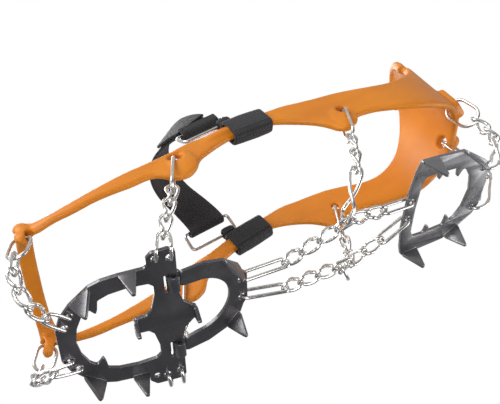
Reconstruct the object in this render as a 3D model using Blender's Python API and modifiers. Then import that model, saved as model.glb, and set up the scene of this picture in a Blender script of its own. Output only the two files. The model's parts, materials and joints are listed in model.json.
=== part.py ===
"""Slip-on ice cleats for a boot: three steel plates with bent teeth under the sole,
steel chains, and a rubber harness ring that holds the chains round the boot.

Toe towards -X, heel towards +X, +Z up. Z = 0 is the plane of the heel's sole, on the
upper face of the heel plate. Metres throughout; the constants below are in millimetres.
"""

import math

import bmesh
import bpy
from mathutils import Euler, Vector

MM = 0.001

# Steel sheet and teeth
SHEET = 2.0
TOOTH_DROP = 14.1
TOOTH_TIP = 1.6

# Chain wire and links
WIRE = 1.0
LINK_HALF_WIDTH = 2.9
LINK_PLAY = 0.8
FUSED = -0.35
PIVOT_PLAY = 1.3
LOBE_HOLE = 2.5
HEEL_LOBE_HOLE = 3.4
TOE_LOBE_HOLE = 2.4
HOLE = 2.1

# Knuckle hinge between the front plate and the horseshoe plate
HINGE = Vector((3.0, 0.0, 2.7))
TOE_TILT = 11.15
KNUCKLE_BORE = 2.55
KNUCKLE_OUTER = 4.0
KNUCKLE_WIDTH = 10.4
KNUCKLE_Y = 25.5

# The heel plate sits a little skewed on the heel
HEEL = Vector((174.0, -3.4, -1.0))
HEEL_YAW = 6.5

# Rubber harness
RUBBER = 4.5
STRETCH_FRONT = -38.0
STRETCH_REAR = 22.0
SEAM_GAP = 0.3

# Instep strap
SLEEVE_X = 84.0
SLEEVE_LENGTH = 26.0
WEBBING = 2.0
STRAP_WIDTH = 24.0
STRAP_THICKNESS = 1.6
STRAP_TOP = Vector((47.0, 0.0, 112.0))
RING_HEIGHT = 11.0

for old in list(bpy.data.objects):
    bpy.data.objects.remove(old, do_unlink=True)

parts = bpy.data.collections.new("shoe_ice_cleats")
cutters = bpy.data.collections.new("cutters")
bpy.context.scene.collection.children.link(parts)
bpy.context.scene.collection.children.link(cutters)
cutters.hide_render = True


def material(name, colour, roughness, metallic):
    made = bpy.data.materials.new(name)
    made.use_nodes = True
    shader = made.node_tree.nodes["Principled BSDF"]
    shader.inputs["Base Color"].default_value = (*colour, 1.0)
    shader.inputs["Roughness"].default_value = roughness
    shader.inputs["Metallic"].default_value = metallic
    return made


PLATE_STEEL = material("plate_steel", (0.075, 0.07, 0.078), 0.42, 0.9)
CHAIN_STEEL = material("chain_steel", (0.72, 0.71, 0.69), 0.2, 1.0)
ORANGE_RUBBER = material("orange_rubber", (0.75, 0.26, 0.02), 0.5, 0.0)
BLACK_WEBBING = material("black_webbing", (0.02, 0.02, 0.024), 0.85, 0.0)


# ---------------------------------------------------------------- basic makers
def empty(name, place, turn, parent=None):
    """A frame to hang pieces on: place in millimetres, turn in degrees about Y and Z."""
    made = bpy.data.objects.new(name, None)
    made.location = place * MM
    made.rotation_euler = Euler((0.0, math.radians(turn[0]), math.radians(turn[1])))
    made.parent = parent
    parts.objects.link(made)
    return made


def add(name, mesh, slot, collection=parts, parent=None):
    made = bpy.data.objects.new(name, mesh)
    made.data.materials.clear()
    made.data.materials.append(slot)
    made.parent = parent
    collection.objects.link(made)
    return made


def mesh_of(temporary):
    """The evaluated mesh of a curve object, welded, with its place applied."""
    bpy.context.view_layer.update()
    evaluated = temporary.evaluated_get(bpy.context.evaluated_depsgraph_get())
    mesh = bpy.data.meshes.new_from_object(evaluated)
    mesh.transform(temporary.matrix_world)
    work = bmesh.new()
    work.from_mesh(mesh)
    bmesh.ops.remove_doubles(work, verts=work.verts, dist=0.000005)
    bmesh.ops.recalc_face_normals(work, faces=work.faces)
    work.to_mesh(mesh)
    work.free()
    bpy.data.objects.remove(temporary, do_unlink=True)
    return mesh


def flat_outline(name, outer, holes, thickness):
    """A flat sheet: closed outlines in the XY plane, extruded both ways."""
    curve = bpy.data.curves.new(name, "CURVE")
    curve.dimensions = "2D"
    curve.fill_mode = "BOTH"
    curve.extrude = thickness / 2 * MM
    for outline in [outer, *holes]:
        spline = curve.splines.new("POLY")
        spline.points.add(len(outline) - 1)
        for point, (x, y) in zip(spline.points, outline):
            point.co = (x * MM, y * MM, 0.0, 1.0)
        spline.use_cyclic_u = True
    made = bpy.data.objects.new(name, curve)
    parts.objects.link(made)
    return made


def circle(x, y, radius, count=10):
    return [
        (
            x + radius * math.cos(2 * math.pi * step / count),
            y + radius * math.sin(2 * math.pi * step / count),
        )
        for step in range(count)
    ]


def wire(name, points, slot=CHAIN_STEEL, radius=WIRE):
    """A closed loop of round wire through the points."""
    curve = bpy.data.curves.new(name, "CURVE")
    curve.dimensions = "3D"
    curve.bevel_depth = radius * MM
    curve.bevel_resolution = 1
    curve.use_fill_caps = True
    spline = curve.splines.new("POLY")
    spline.points.add(len(points) - 1)
    for point, place in zip(spline.points, points):
        point.co = (*(place * MM), 1.0)
    spline.use_cyclic_u = True
    made = bpy.data.objects.new(name, curve)
    made.data.materials.append(slot)
    parts.objects.link(made)
    return made


def loft(name, sections, slot, close_start=True, close_end=True):
    """A skin over a row of sections that all have the same number of points."""
    work = bmesh.new()
    rings = [[work.verts.new(point * MM) for point in section] for section in sections]
    count = len(rings[0])
    for first, second in zip(rings, rings[1:]):
        for step in range(count):
            after = (step + 1) % count
            work.faces.new((first[step], first[after], second[after], second[step]))
    if close_start:
        work.faces.new(list(reversed(rings[0])))
    if close_end:
        work.faces.new(rings[-1])
    bmesh.ops.recalc_face_normals(work, faces=work.faces)
    mesh = bpy.data.meshes.new(name)
    work.to_mesh(mesh)
    work.free()
    return add(name, mesh, slot)


def shade_round(made):
    made.data.shade_smooth()
    made.data.set_sharp_from_angle(angle=math.radians(35))


def cut(body, tool, operation="DIFFERENCE"):
    """Boolean the tool into the body, apply it, and drop the tool."""
    boolean = body.modifiers.new(operation.lower(), "BOOLEAN")
    boolean.operation = operation
    boolean.object = tool
    bpy.context.view_layer.update()
    evaluated = body.evaluated_get(bpy.context.evaluated_depsgraph_get())
    joined = bpy.data.meshes.new_from_object(evaluated)
    slots = list(body.data.materials)
    body.modifiers.clear()
    body.data = joined
    body.data.materials.clear()
    for slot in slots:
        body.data.materials.append(slot)
    bpy.data.objects.remove(tool, do_unlink=True)


def drill(body, centre, axis, radius, length):
    """A round hole through the body along an axis."""
    bpy.ops.mesh.primitive_cylinder_add(
        vertices=10, radius=radius * MM, depth=length * MM, location=centre * MM
    )
    tool = bpy.context.active_object
    tool.rotation_euler = axis.to_track_quat("Z", "Y").to_euler()
    tool.display_type = "WIRE"
    tool.hide_render = True
    cut(body, tool)


def mirror_y(body):
    """Completes a half that is open at the plane y = 0."""
    mirror = body.modifiers.new("mirror", "MIRROR")
    mirror.use_axis = (False, True, False)
    mirror.merge_threshold = 0.00005
    bpy.context.view_layer.update()
    evaluated = body.evaluated_get(bpy.context.evaluated_depsgraph_get())
    slots = list(body.data.materials)
    whole = bpy.data.meshes.new_from_object(evaluated)
    body.modifiers.clear()
    body.data = whole
    body.data.materials.clear()
    for slot in slots:
        body.data.materials.append(slot)


# ---------------------------------------------------------------- steel plates
def tooth(start, end, drop=TOOTH_DROP, proud=0.25):
    """A tooth folded down at the plate's edge, from start to end along its root.

    The sheet stands on edge: its outer face is just proud of the plate's edge."""
    root = Vector((end[0] - start[0], end[1] - start[1], 0.0))
    half = root.length / 2
    outline = [
        (-half, 0.5),
        (half, 0.5),
        (half, -SHEET / 2 - 1.6),
        (TOOTH_TIP / 2, -SHEET / 2 - drop),
        (-TOOTH_TIP / 2, -SHEET / 2 - drop),
        (-half, -SHEET / 2 - 1.6),
    ]
    blade = flat_outline("tooth_blade", outline, [], SHEET)
    along = root.normalized()
    outward = Vector((along.y, -along.x, 0.0))
    middle = Vector(((start[0] + end[0]) / 2, (start[1] + end[1]) / 2, 0.0))
    blade.location = (middle + outward * (proud - SHEET / 2)) * MM
    blade.rotation_euler = Euler((math.pi / 2, 0.0, math.atan2(along.y, along.x)))
    return add("tooth_tool", mesh_of(blade), PLATE_STEEL, cutters)


def plate(name, outer, holes, teeth, frame):
    sheet = mesh_of(flat_outline(name + "_sheet", outer, holes, SHEET))
    body = add(name, sheet, PLATE_STEEL)
    for start, end, drop in teeth:
        cut(body, tooth(start, end, drop), "UNION")
    body.parent = frame
    return body


def both_sides(points):
    """An outline given from the centre line round the +Y side, completed on -Y."""
    return points + [(x, -y) for x, y in reversed(points) if abs(y) > 0.01]


toe_frame = empty("toe_hinge", HINGE, (TOE_TILT, 0.0))
sole_frame = empty("sole_hinge", HINGE, (0.0, 0.0))
heel_frame = empty("heel_seat", HEEL, (0.0, HEEL_YAW))

# Front plate, drawn from the hinge axis, far ear wider than the near one.
FAR_EAR = [(-18.0, 40.2), (-18.0, 46.5), (-14.5, 50.6), (-1.5, 51.0), (2.0, 48.5)]
NEAR_EAR = [(2.0, -47.5), (-1.5, -50.0), (-10.0, -49.5), (-12.8, -46.5), (-12.8, -40.2)]
RIM = [(-61.5, 11.5), (-58.5, 20.0), (-52.5, 28.0), (-42.0, 37.2), (-36.0, 39.4), (-27.0, 40.2)]
TONGUE = [(2.0, 17.6), (4.0, 10.0), (8.4, 5.3), (10.5, 4.2)]
front_outer = (
    RIM
    + FAR_EAR
    + TONGUE
    + [(x, -y) for x, y in reversed(TONGUE)]
    + NEAR_EAR
    + [(x, -y) for x, y in reversed(RIM)]
)
OPENING = [
    (-22.5, 5.5),
    (-15.5, 5.9),
    (-12.8, 9.0),
    (-10.5, 19.5),
    (-10.5, 26.3),
    (-13.0, 28.8),
    (-23.0, 29.7),
    (-33.0, 28.6),
    (-38.6, 26.2),
    (-39.4, 20.0),
    (-40.4, 16.8),
    (-44.0, 21.8),
    (-47.5, 17.8),
    (-50.8, 10.0),
]
front_opening = OPENING + [(-52.4, 0.0)] + [(x, -y) for x, y in reversed(OPENING)]
KNUCKLE_SLOT = [(-5.0, 19.6), (-2.0, 19.6), (-2.0, 31.4), (-5.0, 31.4)]
TOE_HOLES = [(-53.3, 20.3), (-56.8, 12.8)]
EAR_HOLES = [(-8.3, 45.0), (-1.0, 43.6)]
SPARE_HOLE = (-14.0, 43.4)
front_holes = [front_opening, circle(*SPARE_HOLE, 1.8)]
for side in (1, -1):
    front_holes.append([(x, side * y) for x, y in KNUCKLE_SLOT])
    for x, y in TOE_HOLES + EAR_HOLES:
        front_holes.append(circle(x, side * y, HOLE))
front_teeth = [
    ((-42.3, 37.0), (-52.3, 28.2), TOOTH_DROP),
    ((-52.3, -28.2), (-42.3, -37.0), TOOTH_DROP),
    ((-18.2, 40.2), (-27.0, 40.2), TOOTH_DROP),
    ((-27.0, -40.2), (-18.2, -40.2), TOOTH_DROP),
    ((-22.5, 5.0), (-22.5, -5.0), 8.0),
    ((10.5, -3.8), (10.5, 3.8), 8.0),
]
front_plate = plate("front_plate", front_outer, front_holes, front_teeth, toe_frame)


def knuckle(side):
    """A rolled eye round the front plate's hinge bar."""
    outer = circle(0.0, 0.0, KNUCKLE_OUTER, 18)
    bore = circle(0.0, 0.0, KNUCKLE_BORE, 18)
    roll = flat_outline("knuckle_roll", outer, [bore], KNUCKLE_WIDTH)
    roll.location = Vector((0.0, side * KNUCKLE_Y, 0.0)) * MM
    roll.rotation_euler = Euler((math.pi / 2, 0.0, 0.0))
    return add("knuckle_tool", mesh_of(roll), PLATE_STEEL, cutters)


ARM = [(3.3, 30.5), (17.0, 30.0), (28.0, 26.2), (36.6, 18.2), (38.6, 12.5), (41.0, 9.5)]
INNER_ARC = [
    (11.0 + 19.3 * math.cos(math.radians(angle)), 19.3 * math.sin(math.radians(angle)))
    for angle in range(-90, 91, 18)
]
horseshoe_outer = (
    [(3.3, -30.5)]
    + [(x, -y) for x, y in ARM[1:]]
    + [(x, y) for x, y in reversed(ARM)]
    + [(3.3, 20.4)]
    + list(reversed(INNER_ARC))
    + [(3.3, -20.4)]
)
REAR_HOLES = [(37.6, 6.8), (37.6, -6.8)]
horseshoe_teeth = [
    ((36.2, 18.6), (28.6, 25.6), TOOTH_DROP),
    ((28.6, -25.6), (36.2, -18.6), TOOTH_DROP),
]
horseshoe_plate = plate(
    "horseshoe_plate",
    horseshoe_outer,
    [circle(x, y, HOLE) for x, y in REAR_HOLES],
    horseshoe_teeth,
    None,
)
for side in (1, -1):
    cut(horseshoe_plate, knuckle(side), "UNION")
horseshoe_plate.parent = sole_frame

HEEL_RIM = [
    (-31.5, 0.0),
    (-31.5, 12.0),
    (-29.2, 27.0),
    (-27.0, 34.2),
    (-16.0, 33.8),
    (3.0, 32.4),
    (13.6, 25.4),
    (22.0, 19.4),
    (25.2, 13.5),
    (26.0, 0.0),
]
HEEL_OPENING = [
    (-24.3, 0.0),
    (-23.6, 17.0),
    (-21.2, 21.6),
    (-13.6, 21.8),
    (-11.8, 15.6),
    (-9.0, 21.6),
    (0.5, 21.0),
    (1.8, 13.0),
    (5.0, 19.2),
    (8.0, 17.6),
    (12.2, 11.0),
    (14.3, 0.0),
]
HEEL_FRONT_HOLES = [(-28.0, 6.2), (-28.0, -6.2)]
HEEL_REAR_HOLES = [(20.8, 14.6), (20.8, -14.6)]
heel_teeth = [
    ((-16.2, 33.8), (-26.4, 34.1), TOOTH_DROP),
    ((-26.4, -34.1), (-16.2, -33.8), TOOTH_DROP),
    ((12.9, 25.9), (4.2, 31.6), TOOTH_DROP),
    ((4.2, -31.6), (12.9, -25.9), TOOTH_DROP),
]
heel_plate = plate(
    "heel_plate",
    both_sides(HEEL_RIM),
    [both_sides(HEEL_OPENING)]
    + [circle(x, y, HOLE) for x, y in HEEL_FRONT_HOLES + HEEL_REAR_HOLES],
    heel_teeth,
    heel_frame,
)


def on_front(x, y, z=0.0):
    """A point of the tilted front plate, in the object's own frame."""
    turned = Vector((x, y, z))
    turned.rotate(Euler((0.0, math.radians(TOE_TILT), 0.0)))
    return turned + HINGE


def on_heel(x, y, z=0.0):
    turned = Vector((x, y, z))
    turned.rotate(Euler((0.0, 0.0, math.radians(HEEL_YAW))))
    return turned + HEEL


# ---------------------------------------------------------------- chain links
def loop_points(centres, spreads, half_width, round_steps=4):
    """A closed loop of wire round a centre line.

    The two legs run half_width to each side of the centre line, along the spread
    vector of each station, and a half circle closes each end."""
    first_way = (centres[1] - centres[0]).normalized()
    last_way = (centres[-1] - centres[-2]).normalized()
    points = []
    start = centres[0] + first_way * half_width
    for step in range(round_steps + 1):
        angle = math.pi * step / round_steps
        sideways = spreads[0] * (-math.cos(angle) * half_width)
        points.append(start + sideways - first_way * (math.sin(angle) * half_width))
    for centre, spread in zip(centres[1:-1], spreads[1:-1]):
        points.append(centre + spread * half_width)
    end = centres[-1] - last_way * half_width
    for step in range(round_steps + 1):
        angle = math.pi * step / round_steps
        sideways = spreads[-1] * (math.cos(angle) * half_width)
        points.append(end + sideways + last_way * (math.sin(angle) * half_width))
    for centre, spread in zip(reversed(centres[1:-1]), reversed(spreads[1:-1])):
        points.append(centre - spread * half_width)
    return points


def square_to(vector, way):
    return (vector - way * vector.dot(way)).normalized()


def link(name, start, end, outward, turns):
    """One link between the two far points of its wire's centre line.

    turns gives the angle of the link's plane at its start and its end, in degrees:
    0 lies flat on the boot, 90 stands on edge. A link with unequal turns is twisted."""
    way = (end - start).normalized()
    normal = square_to(outward, way)
    across = way.cross(normal)
    centres = []
    spreads = []
    steps = 2 if turns[0] == turns[1] else 3
    for step in range(steps):
        share = step / (steps - 1)
        angle = math.radians(turns[0] + (turns[1] - turns[0]) * share)
        centres.append(start.lerp(end, share))
        spreads.append(across * math.cos(angle) + normal * math.sin(angle))
    return wire(name, loop_points(centres, spreads, LINK_HALF_WIDTH))


def ring(name, start, end, outward, half_width):
    """A long ring through a lobe's hole, astride the lobe."""
    normal = square_to(outward, (end - start).normalized())
    return wire(name, loop_points([start, end], [normal, normal], half_width))


def hooked(joint, before, after, play):
    """Far points of two links hooked at a joint: the end of one, the start of the next."""
    way = ((joint - before).normalized() + (after - joint).normalized()).normalized()
    reach = way * (WIRE + play / 2)
    return joint + reach, joint - reach


def staple(name, start, holes, lift, drop_points, come_from, sideways):
    """A long link whose far end is threaded up through one hole and down the next."""
    way = (come_from - start).normalized()
    spread = square_to(sideways, way)
    points = []
    crown = start + way * LINK_HALF_WIDTH
    for step in range(5):
        angle = math.pi * step / 4
        points.append(
            crown
            - spread * (math.cos(angle) * LINK_HALF_WIDTH)
            - way * (math.sin(angle) * LINK_HALF_WIDTH)
        )
    points.append(drop_points[1])
    for hole, order in ((holes[1], (-1, 1)), (holes[0], (1, -1))):
        for sign in order:
            points.append(hole + lift * (sign * (SHEET / 2 + WIRE + 0.5)))
    points.append(drop_points[0])
    return wire(name, points)


def chain_run(name, start, end, count, outward, plan):
    """Several links of one chain as a single piece, joined where they touch."""
    pieces = []
    way = (end - start).normalized() * (WIRE + FUSED / 2)
    for step in range(count):
        first = start.lerp(end, step / count)
        last = start.lerp(end, (step + 1) / count)
        if step > 0:
            first = first - way
        if step < count - 1:
            last = last + way
        made = link(f"{name}_{step}", first, last, outward, plan[step])
        pieces.append(add(f"{name}_mesh_{step}", mesh_of(made), CHAIN_STEEL))
    body = pieces[0]
    for piece in pieces[1:]:
        cut(body, piece, "UNION")
    body.name = name
    return body


def point(x, y, z, side=-1):
    """A point given for the near side (y < 0), mirrored for the far side."""
    return Vector((x, -side * y, z)) if side > 0 else Vector((x, y, z))


FLAT_TO_EDGE = (0, 90)
ON_EDGE = (90, 90)
UP = Vector((0.0, 0.0, 1.0))
DOWN = Vector((0.0, 0.0, -1.0))

TOE_HOLE_AT = (-53.7, -42.5, 52.9)
TOE_RING_HALF = 5.4
TOE_JOINTS = [
    (-62.3, -45.2, 39.2),
    (-67.2, -46.2, 29.8),
    (-69.1, -43.5, 19.6),
    (-67.0, -37.4, 12.0),
    (-61.2, -30.2, 8.4),
]
# The far chain lies round the front of the toe; given for the near side too.
FAR_TOE_JOINTS = [
    (-63.1, -45.0, 40.9),
    (-67.8, -40.2, 31.8),
    (-71.0, -31.8, 26.4),
    (-69.4, -24.0, 19.0),
    (-63.0, -18.0, 13.7),
]
# The toe lobe's thin way, which its ring passes through, on the near side.
LOBE_ACROSS = Vector((0.78, -0.31, -0.55))
FORE_HOLE_AT = (34.0, -47.0, 60.2)
FORE_RING_HALF = 4.7
FORE_JOINTS = [
    (23.0, -49.8, 39.6),
    (16.6, -51.6, 29.8),
    (9.4, -51.8, 20.0),
    (2.6, -51.6, 10.2),
]
MID_HOLE_AT = (139.5, -37.4, 59.0)
MID_RING_HALF = 4.9
MID_JOINTS = [(130.2, -39.9, 36.0), (125.4, -39.4, 25.0), (120.0, -36.6, 14.6)]
HEEL_HOLE_AT = (217.0, -14.6, 54.6)
HEEL_RING_HALF = 6.9
HEEL_JOINTS = [(219.8, -15.2, 34.8), (220.6, -14.6, 24.2), (219.2, -13.8, 14.2)]


def side_chain(kind, side, hole, ring_half, joints, outward, towards, first_turns=(0, 90)):
    """The ring and the short links of a chain up the side of the boot.

    outward is where the ring's flat side and each link face; towards is the point
    that the piece beyond them runs to. Returns where that piece starts."""
    label = "far" if side > 0 else "near"
    hole = point(*hole, side)
    places = [point(*joint, side) for joint in joints]
    route = [hole, *places, towards]
    hooks = []
    for count in range(1, len(route) - 1):
        play = PIVOT_PLAY if count == len(route) - 2 else LINK_PLAY
        hooks.append(hooked(route[count], route[count - 1], route[count + 1], play))
    ring(f"{kind}_ring_{label}", hole, hooks[0][0], outward[0], ring_half)
    for count in range(len(hooks) - 1):
        name = f"{kind}_link_{count + 1}_{label}"
        turns = FLAT_TO_EDGE if count > 0 else first_turns
        link(name, hooks[count][1], hooks[count + 1][0], outward[count + 1], turns)
    return hooks[-1][1]


def toe_chain(side):
    label = "far" if side > 0 else "near"
    if side < 0:
        joints = TOE_JOINTS
        outward = [(-0.3, -1.0, 0.1), (-0.3, -1.0, 0.1), (-0.6, -0.75, -0.2), (-0.45, -0.35, -0.8)]
    else:
        joints = FAR_TOE_JOINTS
        outward = [(-0.5, 0.72, -0.4), (-0.85, 0.45, -0.2), (-1.0, 0.1, -0.1), (-0.8, 0.0, -0.55)]
    outward = [point(*LOBE_ACROSS, side)] + [Vector(facing) for facing in outward]
    holes = [on_front(x, side * y) for x, y in TOE_HOLES]
    lift = (on_front(0, 0, 1) - on_front(0, 0, 0)).normalized()
    below = lift * -(SHEET / 2 + WIRE + 0.5)
    towards = (holes[0] + holes[1]) / 2 + below
    last = side_chain(
        "toe", side, TOE_HOLE_AT, TOE_RING_HALF, joints, outward, towards, ON_EDGE
    )
    sideways = (holes[1] - holes[0]).normalized()
    lead = [hole + below + (last - towards).normalized() * 1.2 for hole in holes]
    staple(f"toe_staple_{label}", last, holes, lift, lead, towards, sideways)


def fore_chain(side):
    label = "far" if side > 0 else "near"
    aside = Vector((0.0, side * 1.0, 0.0))
    towards = Vector((FORE_JOINTS[-1][0] - 3.0, side * 52.2, 0.0))
    last = side_chain(
        "fore", side, FORE_HOLE_AT, FORE_RING_HALF, FORE_JOINTS, [aside] * 4, towards
    )
    holes = [on_front(x, side * y) for x, y in EAR_HOLES]
    lift = (on_front(0, 0, 1) - on_front(0, 0, 0)).normalized()
    lead = []
    for hole in holes:
        lead.append(Vector((hole.x, side * 52.4, hole.z - 3.2)))
    sideways = Vector((1.0, 0.0, 0.0))
    staple(f"fore_staple_{label}", last, holes, lift, lead, towards, sideways)


def bent_link(name, centres, flat):
    """A link that stands upright at its low end and is turned to flat at its top."""
    way = (centres[3] - centres[1]).normalized()
    spreads = [
        UP,
        square_to(UP, way),
        square_to(UP + square_to(flat, way), way),
        square_to(flat, way),
    ]
    return wire(name, loop_points(centres, spreads, LINK_HALF_WIDTH))


def mid_chain(side, junction):
    """Its long end link hooks round the outer leg of a link of the sole chain."""
    label = "far" if side > 0 else "near"
    aside = Vector((0.3, side * 1.0, -0.1))
    hook = junction + Vector((0.0, -side * (2 * WIRE + 0.45 - LINK_HALF_WIDTH), 0.0))
    knee = Vector((hook.x + 2.4, junction.y + side * 9.0, hook.z))
    top = side_chain(
        "mid", side, MID_HOLE_AT, MID_RING_HALF, MID_JOINTS, [aside] * 3, knee
    )
    centres = [hook, knee, knee.lerp(top, 0.45), top]
    return bent_link(f"mid_long_link_{label}", centres, Vector((1.0, 0.0, 0.0)))


def heel_chain(side):
    """Its end link is threaded through the hole at the heel plate's rear edge."""
    label = "far" if side > 0 else "near"
    back = Vector((0.8, side * 0.6, 0.0))
    hole = on_heel(*HEEL_REAR_HOLES[0 if side > 0 else 1])
    away = on_heel(HEEL_REAR_HOLES[0][0] + 8.0, side * HEEL_REAR_HOLES[0][1])
    top = side_chain(
        "heel", side, HEEL_HOLE_AT, HEEL_RING_HALF, HEEL_JOINTS, [back] * 3, away
    )
    centres = [hole, away, away.lerp(top, 0.5), top]
    return bent_link(f"heel_end_link_{label}", centres, UP.cross(back))


def sole_chain(side):
    """From the horseshoe plate to the heel plate, with the mid chain hooked on halfway."""
    label = "far" if side > 0 else "near"
    rear_hole = on_heel(*HEEL_FRONT_HOLES[0 if side > 0 else 1])
    front_hole = Vector((37.6 + HINGE.x, side * 6.8, HINGE.z))
    low = -2.4
    begin = Vector((64.6, side * 9.8, low))
    junction = Vector((106.0, 13.0 if side > 0 else -21.0, low))
    finish = Vector((127.2, 6.4 if side > 0 else -16.2, low + 0.3))
    first = hooked(begin, front_hole, junction, LINK_PLAY)
    middle = hooked(junction, begin, finish, PIVOT_PLAY)
    last = hooked(finish, junction, rear_hole, LINK_PLAY)
    points = loop_points([front_hole, first[0]], [UP, UP], LINK_HALF_WIDTH)
    wire(f"sole_front_link_{label}", points)
    plan = [FLAT_TO_EDGE, FLAT_TO_EDGE, FLAT_TO_EDGE, (0, 0)]
    chain_run(f"sole_front_run_{label}", first[1], middle[0], 4, DOWN, plan)
    plan = [(90, 0), (90, 0)]
    chain_run(f"sole_rear_run_{label}", middle[1], last[0], 2, DOWN, plan)
    points = loop_points([last[1], rear_hole], [UP, UP], LINK_HALF_WIDTH)
    wire(f"sole_rear_link_{label}", points)
    return junction.lerp(begin, 0.5 / 4)


for side in (-1, 1):
    toe_chain(side)
    fore_chain(side)
    mid_chain(side, sole_chain(side))
    heel_chain(side)

# ---------------------------------------------------------------- rubber harness
# Outer face of the band on the near side: x, half width, lower edge, upper edge.
BAND = [
    (-38.0, 48.4, 50.8, 56.0),
    (-28.0, 50.0, 50.4, 56.6),
    (-14.0, 51.4, 51.4, 58.2),
    (4.0, 51.8, 51.2, 61.0),
    (22.0, 50.8, 51.0, 63.6),
    (25.6, 50.5, 47.6, 64.2),
    (29.5, 50.2, 45.4, 64.9),
    (34.0, 49.8, 44.6, 65.8),
    (38.5, 49.3, 46.0, 67.2),
    (43.0, 48.8, 49.6, 68.6),
    (47.0, 48.3, 54.4, 69.6),
    (56.0, 47.4, 59.0, 70.8),
    (69.0, 46.2, 63.6, 73.8),
    (99.0, 43.0, 66.8, 77.0),
    (112.0, 41.6, 61.4, 78.0),
    (121.0, 41.0, 55.6, 77.0),
    (126.0, 40.7, 50.6, 76.6),
    (130.0, 40.4, 45.4, 76.2),
    (135.0, 40.2, 43.4, 75.8),
    (139.5, 40.0, 46.0, 75.4),
    (144.0, 40.0, 50.4, 74.8),
    (154.0, 40.0, 50.4, 72.6),
    (166.0, 40.0, 46.6, 69.4),
    (178.0, 38.6, 43.4, 68.4),
    (188.0, 36.4, 41.8, 70.6),
    (197.0, 33.0, 41.4, 75.0),
    (205.0, 28.4, 42.2, 82.0),
    (212.0, 22.4, 43.6, 91.0),
    (217.6, 15.0, 45.6, 101.0),
    (221.0, 7.5, 47.6, 111.0),
    (222.4, 0.0, 48.6, 116.0),
]


def band_station(x):
    """Half width, lower and upper edge of the side band at x, between the stations."""
    for before, after in zip(BAND, BAND[1:]):
        if before[0] <= x <= after[0]:
            share = (x - before[0]) / (after[0] - before[0])
            return [a + (b - a) * share for a, b in zip(before[1:], after[1:])]
    raise ValueError(f"no band at {x}")


def band_section(place, inward, low, high, thickness=RUBBER, chamfer=1.3):
    """Eight points round a band that stands upright: place is on its outer face."""
    corners = [
        (chamfer, low),
        (thickness - chamfer, low),
        (thickness, low + chamfer),
        (thickness, high - chamfer),
        (thickness - chamfer, high),
        (chamfer, high),
        (0.0, high - chamfer),
        (0.0, low + chamfer),
    ]
    return [
        Vector((place.x, place.y, 0.0)) + inward * depth + Vector((0.0, 0.0, height))
        for depth, height in corners
    ]


def side_band(name, first, last, side, close=(True, True)):
    """The band from x = first to x = last on one side."""
    inner = [row for row in BAND if first < row[0] < last]
    rows = [(first, *band_station(first)), *inner, (last, *band_station(last))]
    sections = []
    for count, (x, half, low, high) in enumerate(rows):
        before = rows[max(count - 1, 0)]
        after = rows[min(count + 1, len(rows) - 1)]
        along = Vector((after[0] - before[0], -(after[1] - before[1]), 0.0)).normalized()
        inward = Vector((-along.y, along.x, 0.0))
        if count in (0, len(rows) - 1):
            inward = Vector((0.0, 1.0, 0.0)) if half > 1.0 else Vector((-1.0, 0.0, 0.0))
        place = Vector((x, -half, 0.0))
        if side > 0:
            place.y = -place.y
            inward.y = -inward.y
        sections.append(band_section(place, inward, low, high))
    return loft(name, sections, ORANGE_RUBBER, *close)


harness_rear = side_band("harness_rear", STRETCH_REAR, BAND[-1][0], -1, (True, False))
mirror_y(harness_rear)
HEEL_WAY = Vector((0.856, 0.517, 0.0))
HEEL_PAD = [(-6.0, -9.0), (6.0, -9.0), (8.0, -6.0), (8.0, 5.0), (4.0, 9.0), (-4.0, 9.0)]
HEEL_PAD += [(-8.0, 5.0), (-8.0, -6.0)]
for side in (-1, 1):
    outward = Vector((HEEL_WAY.x, side * HEEL_WAY.y, 0.0))
    pad = flat_outline("heel_pad", HEEL_PAD, [], 5.0)
    pad.location = (Vector((217.6, side * 15.0, 54.8)) + outward * 0.4) * MM
    pad.rotation_euler = Euler((math.pi / 2, 0.0, math.atan2(outward.y, outward.x) + math.pi / 2))
    cut(harness_rear, add("heel_pad_tool", mesh_of(pad), ORANGE_RUBBER, cutters), "UNION")
for side in (-1, 1):
    drill(harness_rear, point(*FORE_HOLE_AT, side), Vector((0.1, 1.0, 0.0)), LOBE_HOLE, 14.0)
    drill(harness_rear, point(*MID_HOLE_AT, side), Vector((0.0, 1.0, 0.0)), LOBE_HOLE, 14.0)
    outward = Vector((HEEL_WAY.x, side * HEEL_WAY.y, 0.0))
    hole = point(*HEEL_HOLE_AT, side) + DOWN * 0.7
    drill(harness_rear, hole, outward, HEEL_LOBE_HOLE, 16.0)

for side, label in ((-1, "near"), (1, "far")):
    side_band(
        f"harness_band_{label}",
        STRETCH_FRONT + SEAM_GAP,
        STRETCH_REAR - SEAM_GAP,
        side,
    )

# Toe strap of the harness: from the lobe's tip up and over the toe box.
# Middle of its outer face, width, thickness, the way it faces, and how far it is
# turned edge-on for the ring.
TOE_ARCH = [
    ((-57.6, -46.4, 48.6), 4.4, 6.6, (0.0, -1.0, 0.0), 1.0),
    ((-57.0, -46.9, 49.9), 5.6, 8.0, (0.0, -1.0, 0.0), 1.0),
    ((-54.8, -46.2, 53.6), 6.6, 8.0, (0.0, -1.0, 0.0), 1.0),
    ((-52.4, -45.2, 57.0), 9.0, 6.6, (0.0, -1.0, 0.2), 0.6),
    ((-51.0, -42.8, 60.6), 11.0, 5.0, (0.0, -0.8, 0.6), 0.15),
    ((-51.2, -38.4, 63.0), 10.0, 4.5, (0.0, -0.45, 0.9), 0.0),
    ((-51.6, -30.0, 65.2), 9.0, 4.5, (0.0, -0.18, 1.0), 0.0),
    ((-52.0, -15.0, 66.4), 9.0, 4.5, (0.0, -0.05, 1.0), 0.0),
    ((-52.0, 0.0, 66.8), 9.0, 4.5, (0.0, 0.0, 1.0), 0.0),
]


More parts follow.
